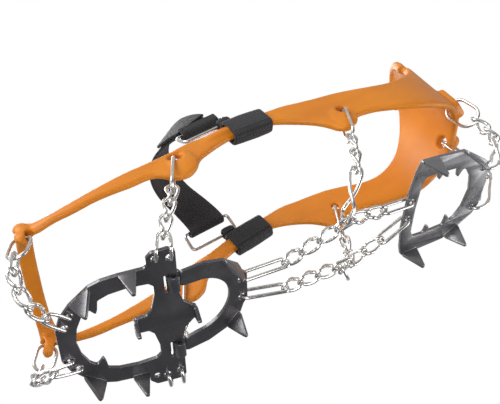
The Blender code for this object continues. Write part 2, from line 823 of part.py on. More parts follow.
def toe_arch_section(place, width, thickness, outward, turned):
    across = Vector((1.0, 0.0, 0.0)).lerp(LOBE_ACROSS, turned).normalized()
    outward = square_to(Vector(outward), across)
    half = width / 2
    chamfer = 1.3
    corners = [
        (-half + chamfer, 0.0),
        (half - chamfer, 0.0),
        (half, -chamfer),
        (half, chamfer - thickness),
        (half - chamfer, -thickness),
        (chamfer - half, -thickness),
        (-half, chamfer - thickness),
        (-half, -chamfer),
    ]
    return [Vector(place) + across * wide + outward * depth for wide, depth in corners]


arch_sections = [toe_arch_section(*row) for row in TOE_ARCH]
harness_front = loft("harness_front", arch_sections, ORANGE_RUBBER, True, False)
mirror_y(harness_front)
for side in (-1, 1):
    rows = [(-54.0, 44.6, 53.2, 58.4), (-49.5, 45.4, 51.2, 57.6), (-38.0, 48.4, 50.8, 56.0)]
    sections = []
    for x, half, low, high in rows:
        place = Vector((x, side * half, 0.0))
        sections.append(band_section(place, Vector((0.0, -side, 0.0)), low, high))
    stub = loft("harness_stub", sections, ORANGE_RUBBER)
    cut(harness_front, stub, "UNION")
    hole = point(*TOE_HOLE_AT, side)
    joint = point(*(TOE_JOINTS if side < 0 else FAR_TOE_JOINTS)[0], side)
    way = (joint - hole).normalized()
    axis = square_to(point(*LOBE_ACROSS, side), way)
    drill(harness_front, hole + way * 0.45, axis, TOE_LOBE_HOLE, 16.0)

# ---------------------------------------------------------------- instep strap
BAND_A = (69.0, *band_station(69.0))
BAND_B = (99.0, *band_station(99.0))


def sleeve_frame(side):
    """Origin on the band's centre line at the sleeve, and its three directions."""
    start = Vector((BAND_A[0], side * (BAND_A[1] - RUBBER / 2), (BAND_A[2] + BAND_A[3]) / 2))
    end = Vector((BAND_B[0], side * (BAND_B[1] - RUBBER / 2), (BAND_B[2] + BAND_B[3]) / 2))
    along = (end - start).normalized()
    middle = start.lerp(end, (SLEEVE_X - BAND_A[0]) / (BAND_B[0] - BAND_A[0]))
    outward = square_to(Vector((0.0, side, 0.0)), along)
    up = square_to(square_to(UP, along), outward)
    return middle, along, up, outward


def bar_frame(side):
    """The same for the strap ring's bar, which runs straight fore and aft."""
    middle, along, _, _ = sleeve_frame(side)
    along = Vector((along.x, 0.0, along.z)).normalized()
    return middle, along, square_to(UP, along), Vector((0.0, side, 0.0))


def rounded_box(half_wide, low, high, corner=1.0):
    return [
        (-half_wide + corner, low),
        (half_wide - corner, low),
        (half_wide, low + corner),
        (half_wide, high - corner),
        (half_wide - corner, high),
        (-half_wide + corner, high),
        (-half_wide, high - corner),
        (-half_wide, low + corner),
    ]


BAND_HALF = (BAND_A[3] - BAND_A[2]) / 2
HOLE_HALF = BAND_HALF + 0.55
SLEEVE_TOP = HOLE_HALF + WEBBING
BAR_LEVEL = SLEEVE_TOP + WIRE + 0.7
TUNNEL_LENGTH = 8.0


def sleeve(side):
    """Webbing wrapped round the band, with a short tunnel for the strap ring's bar."""
    label = "far" if side > 0 else "near"
    half_hole = RUBBER / 2 + 0.55
    outer = rounded_box(half_hole + WEBBING, -SLEEVE_TOP, SLEEVE_TOP, 1.6)
    inner = rounded_box(half_hole, -HOLE_HALF, HOLE_HALF, 0.9)
    wrap = flat_outline("sleeve_wrap", outer, [inner], SLEEVE_LENGTH)
    tunnel_outer = rounded_box(WIRE + 2.2, SLEEVE_TOP - 0.9, BAR_LEVEL + WIRE + 2.0, 1.0)
    tunnel_bore = circle(0.0, BAR_LEVEL, WIRE + 0.65, 8)
    tunnel = flat_outline("sleeve_tunnel", tunnel_outer, [tunnel_bore], TUNNEL_LENGTH)
    meshes = []
    shift = (TUNNEL_LENGTH - SLEEVE_LENGTH) / 2 + 0.2
    for made, reach, frame in ((wrap, 0.0, sleeve_frame), (tunnel, shift, bar_frame)):
        middle, along, up, outward = frame(side)
        place = middle + along * reach
        columns = (outward, up, along)
        turn = made.matrix_world.to_3x3()
        for column, direction in enumerate(columns):
            for row in range(3):
                turn[row][column] = direction[row]
        if turn.determinant() < 0:
            for row in range(3):
                turn[row][0] = -turn[row][0]
        made.rotation_euler = turn.to_euler()
        made.location = place * MM
        meshes.append(mesh_of(made))
    body = add(f"sleeve_{label}", meshes[0], BLACK_WEBBING)
    tool = add("tunnel_tool", meshes[1], BLACK_WEBBING, cutters)
    cut(body, tool, "UNION")


RING_FRONT = -34.5
RING_REAR = TUNNEL_LENGTH - SLEEVE_LENGTH / 2 + 1.8
RING_LEAN = 24.0


def ring_corners(side):
    """Lower and upper bar of the strap ring, leaning in over the boot."""
    middle, along, up, outward = bar_frame(side)
    lean = math.radians(RING_LEAN)
    rise = up * math.cos(lean) - outward * math.sin(lean)
    low = middle + up * BAR_LEVEL
    high = low + rise * RING_HEIGHT
    return low, high, along, rise


def strap_ring(side):
    label = "far" if side > 0 else "near"
    low, high, along, rise = ring_corners(side)
    bevel = 1.6
    points = [
        low + along * (RING_FRONT + bevel),
        low + along * (RING_REAR - bevel),
        low + along * RING_REAR + rise * bevel,
        high + along * RING_REAR - rise * bevel,
        high + along * (RING_REAR - bevel),
        high + along * (RING_FRONT + bevel),
        high + along * RING_FRONT - rise * bevel,
        low + along * RING_FRONT + rise * bevel,
    ]
    wire(f"strap_ring_{label}", points)


def strap_bar(side):
    """Middle of the upper bar, where the strap turns round it, and the bar's direction."""
    _, high, along, rise = ring_corners(side)
    return high + along * ((RING_FRONT + RING_REAR) / 2), along, rise


def strap_section(place, across, outward, thickness=STRAP_THICKNESS):
    half = STRAP_WIDTH / 2
    edge = across * half
    skin = outward * (thickness / 2)
    return [place - edge - skin, place + edge - skin, place + edge + skin, place - edge + skin]


TURN_RADIUS = WIRE + 0.8 + STRAP_THICKNESS / 2


def arch_point(share):
    """The strap's middle line over the instep: share runs 0 to 1, near to far."""
    bar, _, _ = strap_bar(-1)
    angle = math.pi * share
    rise = (STRAP_TOP.z - bar.z) * math.sin(angle)
    forward = (bar.x - STRAP_TOP.x) * math.sin(angle) ** 2
    return Vector((bar.x - forward, (bar.y + TURN_RADIUS) * math.cos(angle), bar.z + rise))


def arch_frame(share):
    """Across and outward directions of the strap at a point of the arch."""
    _, along, _ = strap_bar(-1 if share < 0.5 else 1)
    way = (arch_point(share + 0.005) - arch_point(share - 0.005)).normalized()
    over = Vector((0.80, 0.0, 0.60))
    blend = min(1.0, math.sin(math.pi * share) * 1.5)
    across = square_to(along.lerp(over, blend), way)
    return across, across.cross(way)


def strap_turn(side):
    """Sections of the half turn round the bar, from inside the ring to outside."""
    bar, along, _ = strap_bar(side)
    outward = Vector((0.0, side, 0.0))
    below = square_to(DOWN, along)
    sections = []
    for step in range(7):
        angle = math.pi * step / 6
        radial = outward * -math.cos(angle) + below * math.sin(angle)
        sections.append(strap_section(bar + radial * TURN_RADIUS, along, -radial))
    top = bar + outward * TURN_RADIUS - below * 3.0
    sections.append(strap_section(top, along, -outward))
    return sections


def instep_strap():
    sections = list(reversed(strap_turn(-1)))
    steps = 18
    for step in range(1, steps):
        share = step / steps
        across, outward = arch_frame(share)
        sections.append(strap_section(arch_point(share), across, outward))
    return sections + strap_turn(1)


for side in (-1, 1):
    sleeve(side)
    strap_ring(side)
loft("instep_strap", instep_strap(), BLACK_WEBBING)


def strap_tail():
    """The free end, folded back over the strap and pressed down on it."""
    lift = STRAP_THICKNESS + 0.5
    sections = []
    for step in range(10):
        share = 0.10 + 0.23 * step / 9
        across, outward = arch_frame(share)
        place = arch_point(share) + outward * lift
        sections.append(strap_section(place, across, outward))
    return sections


loft("strap_tail", strap_tail(), BLACK_WEBBING)

for made in parts.objects:
    if made.type == "MESH":
        shade_round(made)
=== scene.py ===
"""The looks of the slip-on ice cleats: smooth chain wire, folded plates, one piece of
stretched rubber, woven sleeves and strap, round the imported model.

Same frame as the model: toe towards -X, heel towards +X, +Z up, Z = 0 in the plane of
the heel's sole. Metres in Blender; the constants and points here are in millimetres.
"""

import json
import math

import bmesh
import bpy
from mathutils import Euler, Matrix, Vector, noise

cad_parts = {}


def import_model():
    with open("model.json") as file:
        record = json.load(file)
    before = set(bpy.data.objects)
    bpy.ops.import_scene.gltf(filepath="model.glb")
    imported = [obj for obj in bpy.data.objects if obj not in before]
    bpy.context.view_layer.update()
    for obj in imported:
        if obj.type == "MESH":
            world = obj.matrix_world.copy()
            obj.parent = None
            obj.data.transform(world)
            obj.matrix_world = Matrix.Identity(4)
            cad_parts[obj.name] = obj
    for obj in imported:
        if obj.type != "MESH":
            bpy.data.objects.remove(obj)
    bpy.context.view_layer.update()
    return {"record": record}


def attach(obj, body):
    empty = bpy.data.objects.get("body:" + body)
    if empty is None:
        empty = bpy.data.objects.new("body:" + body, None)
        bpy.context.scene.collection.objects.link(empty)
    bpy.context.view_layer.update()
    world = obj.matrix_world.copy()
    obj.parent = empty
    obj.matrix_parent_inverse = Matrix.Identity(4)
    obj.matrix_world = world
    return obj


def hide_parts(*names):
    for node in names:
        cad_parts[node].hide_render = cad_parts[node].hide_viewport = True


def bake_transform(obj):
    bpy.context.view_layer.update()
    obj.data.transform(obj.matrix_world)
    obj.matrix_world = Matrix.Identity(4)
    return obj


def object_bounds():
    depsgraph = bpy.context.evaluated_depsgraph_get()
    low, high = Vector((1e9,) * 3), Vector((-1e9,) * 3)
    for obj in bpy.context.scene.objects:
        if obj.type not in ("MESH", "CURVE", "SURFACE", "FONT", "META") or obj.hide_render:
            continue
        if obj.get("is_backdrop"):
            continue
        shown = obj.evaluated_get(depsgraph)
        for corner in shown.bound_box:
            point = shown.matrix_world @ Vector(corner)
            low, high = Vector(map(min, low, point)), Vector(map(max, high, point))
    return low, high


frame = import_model()

MM = 0.001

# Points nearer than this are welded, in metres; above these angles an edge is shaded
# sharp, in degrees.
WELD = 0.000004
PLATE_SHARP = 32.0
TAPE_SHARP = 50.0

# Steel sheet and teeth
SHEET = 2.0
TOOTH_DROP = 14.1
SHORT_DROP = 8.0
TOOTH_TIP = 1.6
TOOTH_SHOULDER = 1.6
TOOTH_PROUD = 0.25
FOLD_RADIUS = 2.3
EDGE_ROUND = 0.3

# Chain wire and links
WIRE = 1.0
LINK_HALF_WIDTH = 3.0
LINK_PLAY = 0.8
FUSED = -0.35
PIVOT_PLAY = 1.3
LOBE_HOLE = 2.5
HEEL_LOBE_HOLE = 3.4
TOE_LOBE_HOLE = 2.4
HOLE = 2.1

# Knuckle hinge between the front plate and the horseshoe plate
HINGE = Vector((3.0, 0.0, 2.7))
TOE_TILT = 11.15
KNUCKLE_BORE = 2.55
KNUCKLE_OUTER = 4.0
KNUCKLE_WIDTH = 10.4
KNUCKLE_Y = 25.5

# The heel plate sits a little skewed on the heel
HEEL = Vector((174.0, -3.4, -1.0))
HEEL_YAW = 6.5

# Rubber harness
RUBBER = 4.5
RUBBER_VOXEL = 0.65

# Instep strap
SLEEVE_X = 84.0
SLEEVE_LENGTH = 26.0
SLEEVE_PLAY = 0.55
WEBBING = 2.0
STRAP_WIDTH = 24.0
STRAP_THICKNESS = 1.6
STITCH_PITCH = 2.1
STITCH_LENGTH = 1.45
STITCH_RADIUS = 0.27
STRAP_TOP = Vector((47.0, 0.0, 112.0))
RING_HEIGHT = 11.0
RING_FRONT = -34.5
RING_LEAN = 24.0
TUNNEL_LENGTH = 8.0
RING_REAR = TUNNEL_LENGTH - SLEEVE_LENGTH / 2 + 1.8
RING_MIDDLE = (RING_FRONT + RING_REAR) / 2

UP = Vector((0.0, 0.0, 1.0))
DOWN = Vector((0.0, 0.0, -1.0))

BODY_OF = {
    node: body
    for body, nodes in frame["record"]["behaviour"]["bodies"].items()
    for node in nodes
}


# ---------------------------------------------------------------- materials
def shader_node(tree, kind, inputs=None, **settings):
    made = tree.nodes.new("ShaderNode" + kind)
    for key, value in settings.items():
        setattr(made, key, value)
    for key, value in (inputs or {}).items():
        if isinstance(value, bpy.types.NodeSocket):
            tree.links.new(value, made.inputs[key])
        else:
            made.inputs[key].default_value = value
    return made


def calculate(tree, operation, first, second=0.0):
    made = shader_node(tree, "Math", {0: first, 1: second}, operation=operation)
    return made.outputs[0]


def noise_at(tree, place, scale, detail=3.0, roughness=0.55):
    inputs = {"Vector": place, "Scale": scale, "Detail": detail, "Roughness": roughness}
    return shader_node(tree, "TexNoise", inputs).outputs["Fac"]


def ranged(tree, value, low, high, least=0.3, most=0.7):
    inputs = {
        "Value": value,
        "From Min": least,
        "From Max": most,
        "To Min": low,
        "To Max": high,
    }
    return shader_node(tree, "MapRange", inputs).outputs["Result"]


def blended(tree, share, first, second):
    """A colour between two colours, or between a node's colour and a plain one."""
    made = shader_node(tree, "Mix", {"Factor": share}, data_type="RGBA")
    for socket, colour in ((made.inputs[6], first), (made.inputs[7], second)):
        if isinstance(colour, bpy.types.NodeSocket):
            tree.links.new(colour, socket)
        else:
            socket.default_value = (*colour, 1.0)
    return made.outputs[2]


def bumped(tree, height, strength, distance, normal=None):
    inputs = {"Height": height, "Strength": strength, "Distance": distance * MM}
    if normal:
        inputs["Normal"] = normal
    return shader_node(tree, "Bump", inputs).outputs["Normal"]


def new_material(name, metallic, **constants):
    made = bpy.data.materials.new(name)
    made.use_nodes = True
    tree = made.node_tree
    shader = tree.nodes["Principled BSDF"]
    shader.inputs["Metallic"].default_value = metallic
    for key, value in constants.items():
        shader.inputs[key.replace("_", " ")].default_value = value
    place = shader_node(tree, "TexCoord").outputs["Object"]
    return made, tree, shader, place


def connect(tree, shader, colour, rough, relief):
    for key, value in (("Base Color", colour), ("Roughness", rough), ("Normal", relief)):
        tree.links.new(value, shader.inputs[key])


def edge_share(tree, radius, least, most):
    """1 on sharp edges, 0 on flat faces."""
    rounded = shader_node(tree, "Bevel", {"Radius": radius * MM}, samples=6)
    plain = shader_node(tree, "NewGeometry").outputs["Normal"]
    inputs = {0: rounded.outputs["Normal"], 1: plain}
    match = shader_node(tree, "VectorMath", inputs, operation="DOT_PRODUCT").outputs["Value"]
    return ranged(tree, match, 1.0, 0.0, least, most)


def steel_plate_material(name, dark, light, worn):
    """Dark coated steel: satin, a little cloudy, rubbed bright along its edges."""
    made, tree, shader, place = new_material(name, 0.88)
    clouds = noise_at(tree, place, 55.0, 4.0)
    grain = noise_at(tree, place, 1500.0, 2.0)
    stretched = shader_node(tree, "Mapping", {"Vector": place, "Scale": (260.0, 2600.0, 900.0)})
    scratches = noise_at(tree, stretched.outputs["Vector"], 1.0, 2.0)
    colour = blended(tree, ranged(tree, clouds, 0.0, 1.0), dark, light)
    edges = edge_share(tree, 0.5, 0.86, 0.99)
    rub = calculate(tree, "MULTIPLY", edges, ranged(tree, clouds, 0.35, 1.0))
    colour = blended(tree, rub, colour, worn)
    satin = ranged(tree, clouds, 0.24, 0.36)
    rough = calculate(tree, "ADD", satin, ranged(tree, scratches, -0.05, 0.08))
    relief = bumped(tree, grain, 0.22, 0.05)
    relief = bumped(tree, scratches, 0.10, 0.05, relief)
    connect(tree, shader, colour, rough, relief)
    return made


def bright_steel_material():
    """Polished chain wire, with fine draw marks and duller patches."""
    made, tree, shader, place = new_material("bright_steel", 1.0)
    patches = noise_at(tree, place, 260.0, 4.0)
    marks = noise_at(tree, place, 2400.0, 2.0)
    colour = blended(tree, ranged(tree, patches, 0.0, 1.0), (0.66, 0.65, 0.63), (0.84, 0.83, 0.80))
    polish = ranged(tree, patches, 0.12, 0.27)
    rough = calculate(tree, "ADD", polish, ranged(tree, marks, -0.02, 0.05))
    relief = bumped(tree, patches, 0.04, 0.08)
    relief = bumped(tree, marks, 0.04, 0.02, relief)
    connect(tree, shader, colour, rough, relief)
    return made


def rubber_material():
    """Moulded orange elastomer: even colour with faint flow marks, soft gloss."""
    made, tree, shader, place = new_material(
        "orange_rubber_moulded", 0.0, Subsurface_Weight=0.06, Subsurface_Scale=0.002
    )
    shader.inputs["Subsurface Radius"].default_value = (1.0, 0.45, 0.12)
    flow = shader_node(tree, "Mapping", {"Vector": place, "Scale": (22.0, 60.0, 60.0)})
    streaks = noise_at(tree, flow.outputs["Vector"], 1.0, 3.0)
    pores = noise_at(tree, place, 1900.0, 2.0)
    dust = noise_at(tree, place, 210.0, 5.0, 0.65)
    colour = blended(
        tree, ranged(tree, streaks, 0.0, 1.0), (0.68, 0.205, 0.0060), (0.78, 0.255, 0.0090)
    )
    colour = blended(tree, ranged(tree, dust, 0.0, 0.16, 0.52, 0.75), colour, (0.50, 0.19, 0.025))
    gloss = ranged(tree, dust, 0.40, 0.52)
    rough = calculate(tree, "ADD", gloss, ranged(tree, streaks, -0.03, 0.04))
    relief = bumped(tree, pores, 0.06, 0.04)
    relief = bumped(tree, streaks, 0.08, 0.2, relief)
    connect(tree, shader, colour, rough, relief)
    return made


def webbing_material(name, thread, gap, rib, pitch):
    """Woven tape, its colour darkened by painted shade in the gaps between threads. The UV map is
    in millimetres: x along the tape, y across it.
    """
    made, tree, shader, place = new_material(name, 0.0, Sheen_Weight=0.12, Sheen_Roughness=0.5)
    lying = shader_node(tree, "UVMap").outputs["UV"]
    parts = shader_node(tree, "SeparateXYZ", {"Vector": lying})
    along = calculate(tree, "MULTIPLY", parts.outputs["X"], math.pi / rib)
    across = calculate(tree, "MULTIPLY", parts.outputs["Y"], math.pi / pitch)
    row = calculate(tree, "SINE", along)
    thread_turn = calculate(tree, "SINE", across)
    over = calculate(tree, "MULTIPLY", row, thread_turn)
    bulge = calculate(tree, "ABSOLUTE", over)
    sign = calculate(tree, "MULTIPLY", calculate(tree, "GREATER_THAN", over, 0.0), 0.35)
    height = calculate(tree, "ADD", bulge, sign)
    fuzz = noise_at(tree, place, 2600.0, 3.0)
    fade = noise_at(tree, place, 120.0, 3.0)
    # The weave's height sets the colour: painted shade, darkest in the gaps between threads; the
    # fade noise adds random tone.
    weave_shade = ranged(tree, height, 0.0, 1.0, 0.1, 1.2)
    shade = calculate(tree, "MULTIPLY", weave_shade, ranged(tree, fade, 0.6, 1.0))
    colour = blended(tree, shade, gap, thread)
    rough = ranged(tree, fuzz, 0.55, 0.8)
    relief = bumped(tree, height, 0.75, 0.35)
    relief = bumped(tree, fuzz, 0.4, 0.12, relief)
    connect(tree, shader, colour, rough, relief)
    return made


def loop_tape_material():
    """The napped face of hook-and-loop tape."""
    made, tree, shader, place = new_material(
        "loop_tape", 0.0, Sheen_Weight=0.35, Sheen_Roughness=0.4
    )
    loops = shader_node(tree, "TexVoronoi", {"Vector": place, "Scale": 1100.0}).outputs["Distance"]
    nap = noise_at(tree, place, 900.0, 4.0, 0.7)
    pressed = noise_at(tree, place, 90.0, 3.0)
    fibre = calculate(tree, "MULTIPLY", nap, ranged(tree, pressed, 0.5, 1.0))
    colour = blended(tree, fibre, (0.006, 0.006, 0.007), (0.055, 0.055, 0.062))
    rough = ranged(tree, nap, 0.7, 0.95)
    relief = bumped(tree, loops, 0.5, 0.3)
    relief = bumped(tree, nap, 0.6, 0.4, relief)
    connect(tree, shader, colour, rough, relief)
    return made


def floor_material():
    """Pale from above, clear from below, so that the sole side can be looked at."""
    made, tree, shader, place = new_material(
        "pale_floor", 0.0, Roughness=0.7, Emission_Strength=0.42
    )
    shader.inputs["Emission Color"].default_value = (1.0, 1.0, 1.0, 1.0)
    colour = blended(tree, noise_at(tree, place, 6.0), (0.80, 0.80, 0.81), (0.86, 0.86, 0.86))
    tree.links.new(colour, shader.inputs["Base Color"])
    clear = shader_node(tree, "BsdfTransparent")
    behind = shader_node(tree, "NewGeometry").outputs["Backfacing"]
    either = shader_node(tree, "MixShader", {0: behind, 1: shader.outputs[0], 2: clear.outputs[0]})
    tree.links.new(either.outputs[0], tree.nodes["Material Output"].inputs["Surface"])
    return made


FRONT_STEEL = steel_plate_material(
    "front_plate_steel", (0.135, 0.130, 0.140), (0.195, 0.190, 0.200), (0.52, 0.51, 0.52)
)
HEEL_STEEL = steel_plate_material(
    "heel_plate_steel", (0.21, 0.21, 0.22), (0.29, 0.29, 0.30), (0.56, 0.56, 0.56)
)
CHAIN_STEEL = bright_steel_material()
ORANGE_RUBBER = rubber_material()
# In these webbing materials the first colour is the thread's own, the second is painted shade for
# the gaps of the weave.
SLEEVE_WEBBING = webbing_material(
    "sleeve_webbing", (0.040, 0.040, 0.046), (0.004, 0.004, 0.005), 1.05, 1.25
)
STRAP_WEBBING = webbing_material(
    "strap_webbing", (0.034, 0.034, 0.039), (0.005, 0.005, 0.006), 0.8, 1.6
)
THREAD = webbing_material("stitch_thread", (0.085, 0.085, 0.092), (0.03, 0.03, 0.034), 0.3, 0.3)
LOOP_TAPE = loop_tape_material()


# ---------------------------------------------------------------- makers
def finished(made, finish):
    made.data.materials.clear()
    made.data.materials.append(finish)
    made.data.shade_smooth()


def show(made, node, finish, angle):
    """The piece takes its finish, rides with its CAD node's body and stands for it."""
    finished(made, finish)
    if angle:
        made.data.set_sharp_from_angle(angle=math.radians(angle))
    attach(made, BODY_OF[node])
    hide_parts(node)
    return made


def placed(name, mesh):
    made = bpy.data.objects.new(name, mesh)
    bpy.context.scene.collection.objects.link(made)
    return made


def mesh_from(work, name):
    mesh = bpy.data.meshes.new(name)
    work.to_mesh(mesh)
    work.free()
    return mesh


def evaluated_mesh_of(body):
    bpy.context.view_layer.update()
    evaluated = body.evaluated_get(bpy.context.evaluated_depsgraph_get())
    return bpy.data.meshes.new_from_object(evaluated)


def evaluated_mesh(temporary):
    """The mesh of an object with its modifiers and its place, and the object removed."""
    mesh = evaluated_mesh_of(temporary)
    mesh.transform(temporary.matrix_world)
    work = bmesh.new()
    work.from_mesh(mesh)
    bmesh.ops.remove_doubles(work, verts=work.verts, dist=WELD)
    bmesh.ops.recalc_face_normals(work, faces=work.faces)
    work.to_mesh(mesh)
    work.free()
    bpy.data.objects.remove(temporary, do_unlink=True)
    return mesh


def flowing(rows, step, closed=False):
    """Rows of numbers with a smooth curve through all of them, about step apart.

    The spacing is measured on the first three numbers of each row."""
    rows = [list(row) for row in rows]
    count = len(rows)
    spans = count if closed else count - 1
    gaps = []
    for index in range(spans):
        after = rows[(index + 1) % count]
        gaps.append(max(math.dist(rows[index][:3], after[:3]), 0.001))
    slopes = []
    for index in range(count):
        before = index - 1 if (closed or index > 0) else index
        after = index if index < spans else index - 1
        first, middle = rows[before], rows[index]
        last = rows[(index + 1) % count] if index < spans else middle
        back, ahead = gaps[before], gaps[after]
        slope = []
        for low, here, high in zip(first, middle, last):
            behind = (here - low) / back if before != index else (high - here) / ahead
            beyond = (high - here) / ahead if index < spans else behind
            slope.append((behind * ahead + beyond * back) / (back + ahead))
        slopes.append(slope)
    filled = []
    for index in range(spans):
        after = (index + 1) % count
        gap = gaps[index]
        pieces = max(1, round(gap / step))
        for piece in range(pieces):
            share = piece / pieces
            square, cube = share**2, share**3
            weights = (
                2 * cube - 3 * square + 1,
                (cube - 2 * square + share) * gap,
                3 * square - 2 * cube,
                (cube - square) * gap,
            )
            rows_here = (rows[index], slopes[index], rows[after], slopes[after])
            filled.append([sum(w * v for w, v in zip(weights, four)) for four in zip(*rows_here)])
    if not closed:
        filled.append(rows[-1])
    return filled


def wire_mesh(name, points, radius=WIRE, closed=True):
    """Round wire along the points, in millimetres."""
    curve = bpy.data.curves.new(name, "CURVE")
    curve.dimensions = "3D"
    curve.bevel_depth = radius * MM
    curve.bevel_resolution = 3
    curve.use_fill_caps = True
    spline = curve.splines.new("POLY")
    spline.points.add(len(points) - 1)
    for point, place in zip(spline.points, points):
        point.co = (*(Vector(place) * MM), 1.0)
    spline.use_cyclic_u = closed
    return evaluated_mesh(placed(name + "_path", curve))


def wire(node, points):
    made = placed(f"wire_{node}", wire_mesh(node, points))
    return show(made, node, CHAIN_STEEL, None)


def skin(name, sections, closed_along=False):
    """A skin over sections of equal length, with a UV map in millimetres."""
    work = bmesh.new()
    uv = work.loops.layers.uv.new("UVMap")
    count = len(sections[0])
    rings = [[work.verts.new(Vector(point) * MM) for point in section] for section in sections]
    centres = [sum((Vector(point) for point in section), Vector()) / count for section in sections]
    reach = [0.0]
    for first, second in zip(centres, centres[1:] + centres[:1]):
        reach.append(reach[-1] + (second - first).length)
    girth = [0.0]
    middle = sections[len(sections) // 2]
    for step in range(count):
        girth.append(girth[-1] + math.dist(middle[step], middle[(step + 1) % count]))
    spans = len(rings) if closed_along else len(rings) - 1
    for index in range(spans):
        first, second = rings[index], rings[(index + 1) % len(rings)]
        for step in range(count):
            after = (step + 1) % count
            face = work.faces.new((first[step], first[after], second[after], second[step]))
            corners = ((index, step), (index, step + 1), (index + 1, step + 1), (index + 1, step))
            for loop, (far, round_step) in zip(face.loops, corners):
                loop[uv].uv = (reach[far], girth[round_step])
    if not closed_along:
        work.faces.new(list(reversed(rings[0])))
        work.faces.new(rings[-1])
    bmesh.ops.recalc_face_normals(work, faces=work.faces)
    return mesh_from(work, name)


def rounded_rectangle(half_wide, half_tall, corner, per_corner=5):
    """Points round a rectangle with round corners, counter-clockwise from the +x side."""
    points = []
    for quarter, (across, up) in enumerate(((1, 1), (-1, 1), (-1, -1), (1, -1))):
        for step in range(per_corner):
            angle = math.pi / 2 * (quarter + step / (per_corner - 1))
            points.append(
                (
                    across * (half_wide - corner) + corner * math.cos(angle),
                    up * (half_tall - corner) + corner * math.sin(angle),
                )
            )
    return points


def circle(x, y, radius, count=28):
    return [
        (
            x + radius * math.cos(2 * math.pi * step / count),
            y + radius * math.sin(2 * math.pi * step / count),
        )
        for step in range(count)
    ]


def joined(name, meshes):
    """One mesh of several."""
    work = bmesh.new()
    for mesh in meshes:
        work.from_mesh(mesh)
    return mesh_from(work, name)


def combine(body, tool_mesh, operation):
    """Booleans a mesh into the body and applies it."""
    tool = placed("tool", tool_mesh)
    boolean = body.modifiers.new("combine", "BOOLEAN")
    boolean.operation = operation
    boolean.object = tool
    result = evaluated_mesh_of(body)
    body.modifiers.clear()
    body.data = result
    bpy.data.objects.remove(tool, do_unlink=True)


# ---------------------------------------------------------------- steel plates
def filleted(outline, radius):
    """The outline with each corner rounded, as far as its two sides allow."""
    points = []
    count = len(outline)
    for index, corner in enumerate(outline):
        corner = Vector(corner)
        before = Vector(outline[index - 1]) - corner
        after = Vector(outline[(index + 1) % count]) - corner
        bend = math.pi - before.angle(after)
        if bend < math.radians(4):
            points.append(tuple(corner))
            continue
        reach = min(radius * math.tan(bend / 2), 0.46 * before.length, 0.46 * after.length)
        start = corner + before.normalized() * reach
        end = corner + after.normalized() * reach
        steps = max(2, round(math.degrees(bend) / 12))
        for step in range(steps + 1):
            share = step / steps
            first = start.lerp(corner, share)
            points.append(tuple(first.lerp(corner.lerp(end, share), share)))
    return points


def area_of(outline):
    return sum(
        first[0] * second[1] - second[0] * first[1]
        for first, second in zip(outline, outline[1:] + outline[:1])
    )


def sheet_mesh(name, outer, holes, thickness, edge=EDGE_ROUND):
    """Flat sheet with rounded edges: outer outline counter-clockwise, holes clockwise."""
    curve = bpy.data.curves.new(name, "CURVE")
    curve.dimensions = "2D"
    curve.fill_mode = "BOTH"
    curve.extrude = (thickness / 2 - edge) * MM
    curve.bevel_depth = edge * MM
    curve.bevel_resolution = 2
    curve.offset = -edge * MM
    for outline, turn in [(outer, 1), *((hole, -1) for hole in holes)]:
        if area_of(outline) * turn < 0:
            outline = list(reversed(outline))
        spline = curve.splines.new("POLY")
        spline.points.add(len(outline) - 1)
        for point, (x, y) in zip(spline.points, outline):
            point.co = (x * MM, y * MM, 0.0, 1.0)
        spline.use_cyclic_u = True
    return evaluated_mesh(placed(name, curve))


def folded_tooth(start, end, drop):
    """A tooth cut from the sheet and folded down at the plate's edge, with its bend."""
    root = Vector((end[0] - start[0], end[1] - start[1], 0.0))
    along = root.normalized()
    outward = Vector((along.y, -along.x, 0.0))
    middle = Vector(((start[0] + end[0]) / 2, (start[1] + end[1]) / 2, 0.0))
    half = root.length / 2
    inner_radius = FOLD_RADIUS - SHEET
    centre = (TOOTH_PROUD - FOLD_RADIUS, SHEET / 2 - FOLD_RADIUS)
    stations = [((-4.2, SHEET / 2 - 0.02), (-4.2, 0.02 - SHEET / 2), half)]
    for step in range(7):
        angle = math.pi / 2 * (1 - step / 6)
        turn = (math.cos(angle), math.sin(angle))
        outer = (centre[0] + FOLD_RADIUS * turn[0], centre[1] + FOLD_RADIUS * turn[1] - 0.01)
        inner = (centre[0] + inner_radius * turn[0], centre[1] + inner_radius * turn[1])
        stations.append((outer, inner, half))
    for depth, width in (
        (TOOTH_SHOULDER, half),
        (TOOTH_SHOULDER + 0.8, half - 0.3),
        (drop - 0.5, TOOTH_TIP / 2 + 0.25),
        (drop, TOOTH_TIP / 2 - 0.2),
    ):
        level = -SHEET / 2 - depth
        stations.append(((TOOTH_PROUD, level), (TOOTH_PROUD - SHEET, level), width))
    sections = []
    for outer, inner, width in stations:
        section = []
        for (out, up), side in ((outer, -1), (outer, 1), (inner, 1), (inner, -1)):
            section.append(middle + outward * out + UP * up + along * (side * width))
        sections.append(section)
    blade = placed("tooth", skin("tooth", sections))
    bevel = blade.modifiers.new("edges", "BEVEL")
    bevel.width = 0.28 * MM
    bevel.segments = 2
    bevel.limit_method = "ANGLE"
    bevel.angle_limit = math.radians(40)
    return evaluated_mesh(blade)


def plate(node, outer, holes, teeth, place, finish, extras=()):
    body = placed(f"sheet_{node}", sheet_mesh(node, outer, holes, SHEET))
    for start, end, drop in teeth:
        combine(body, folded_tooth(start, end, drop), "UNION")
    for extra in extras:
        combine(body, extra, "UNION")
    body.data.transform(place)
    return show(body, node, finish, PLATE_SHARP)


def seat(place, tilt=0.0, yaw=0.0):
    turn = Euler((0.0, math.radians(tilt), math.radians(yaw))).to_matrix().to_4x4()
    return Matrix.Translation(place * MM) @ turn


def mirrored(points):
    return [(x, -y) for x, y in reversed(points)]


def both_sides(points):
    """An outline given from the centre line round the +Y side, completed on -Y."""
    return points + mirrored([(x, y) for x, y in points if abs(y) > 0.01])


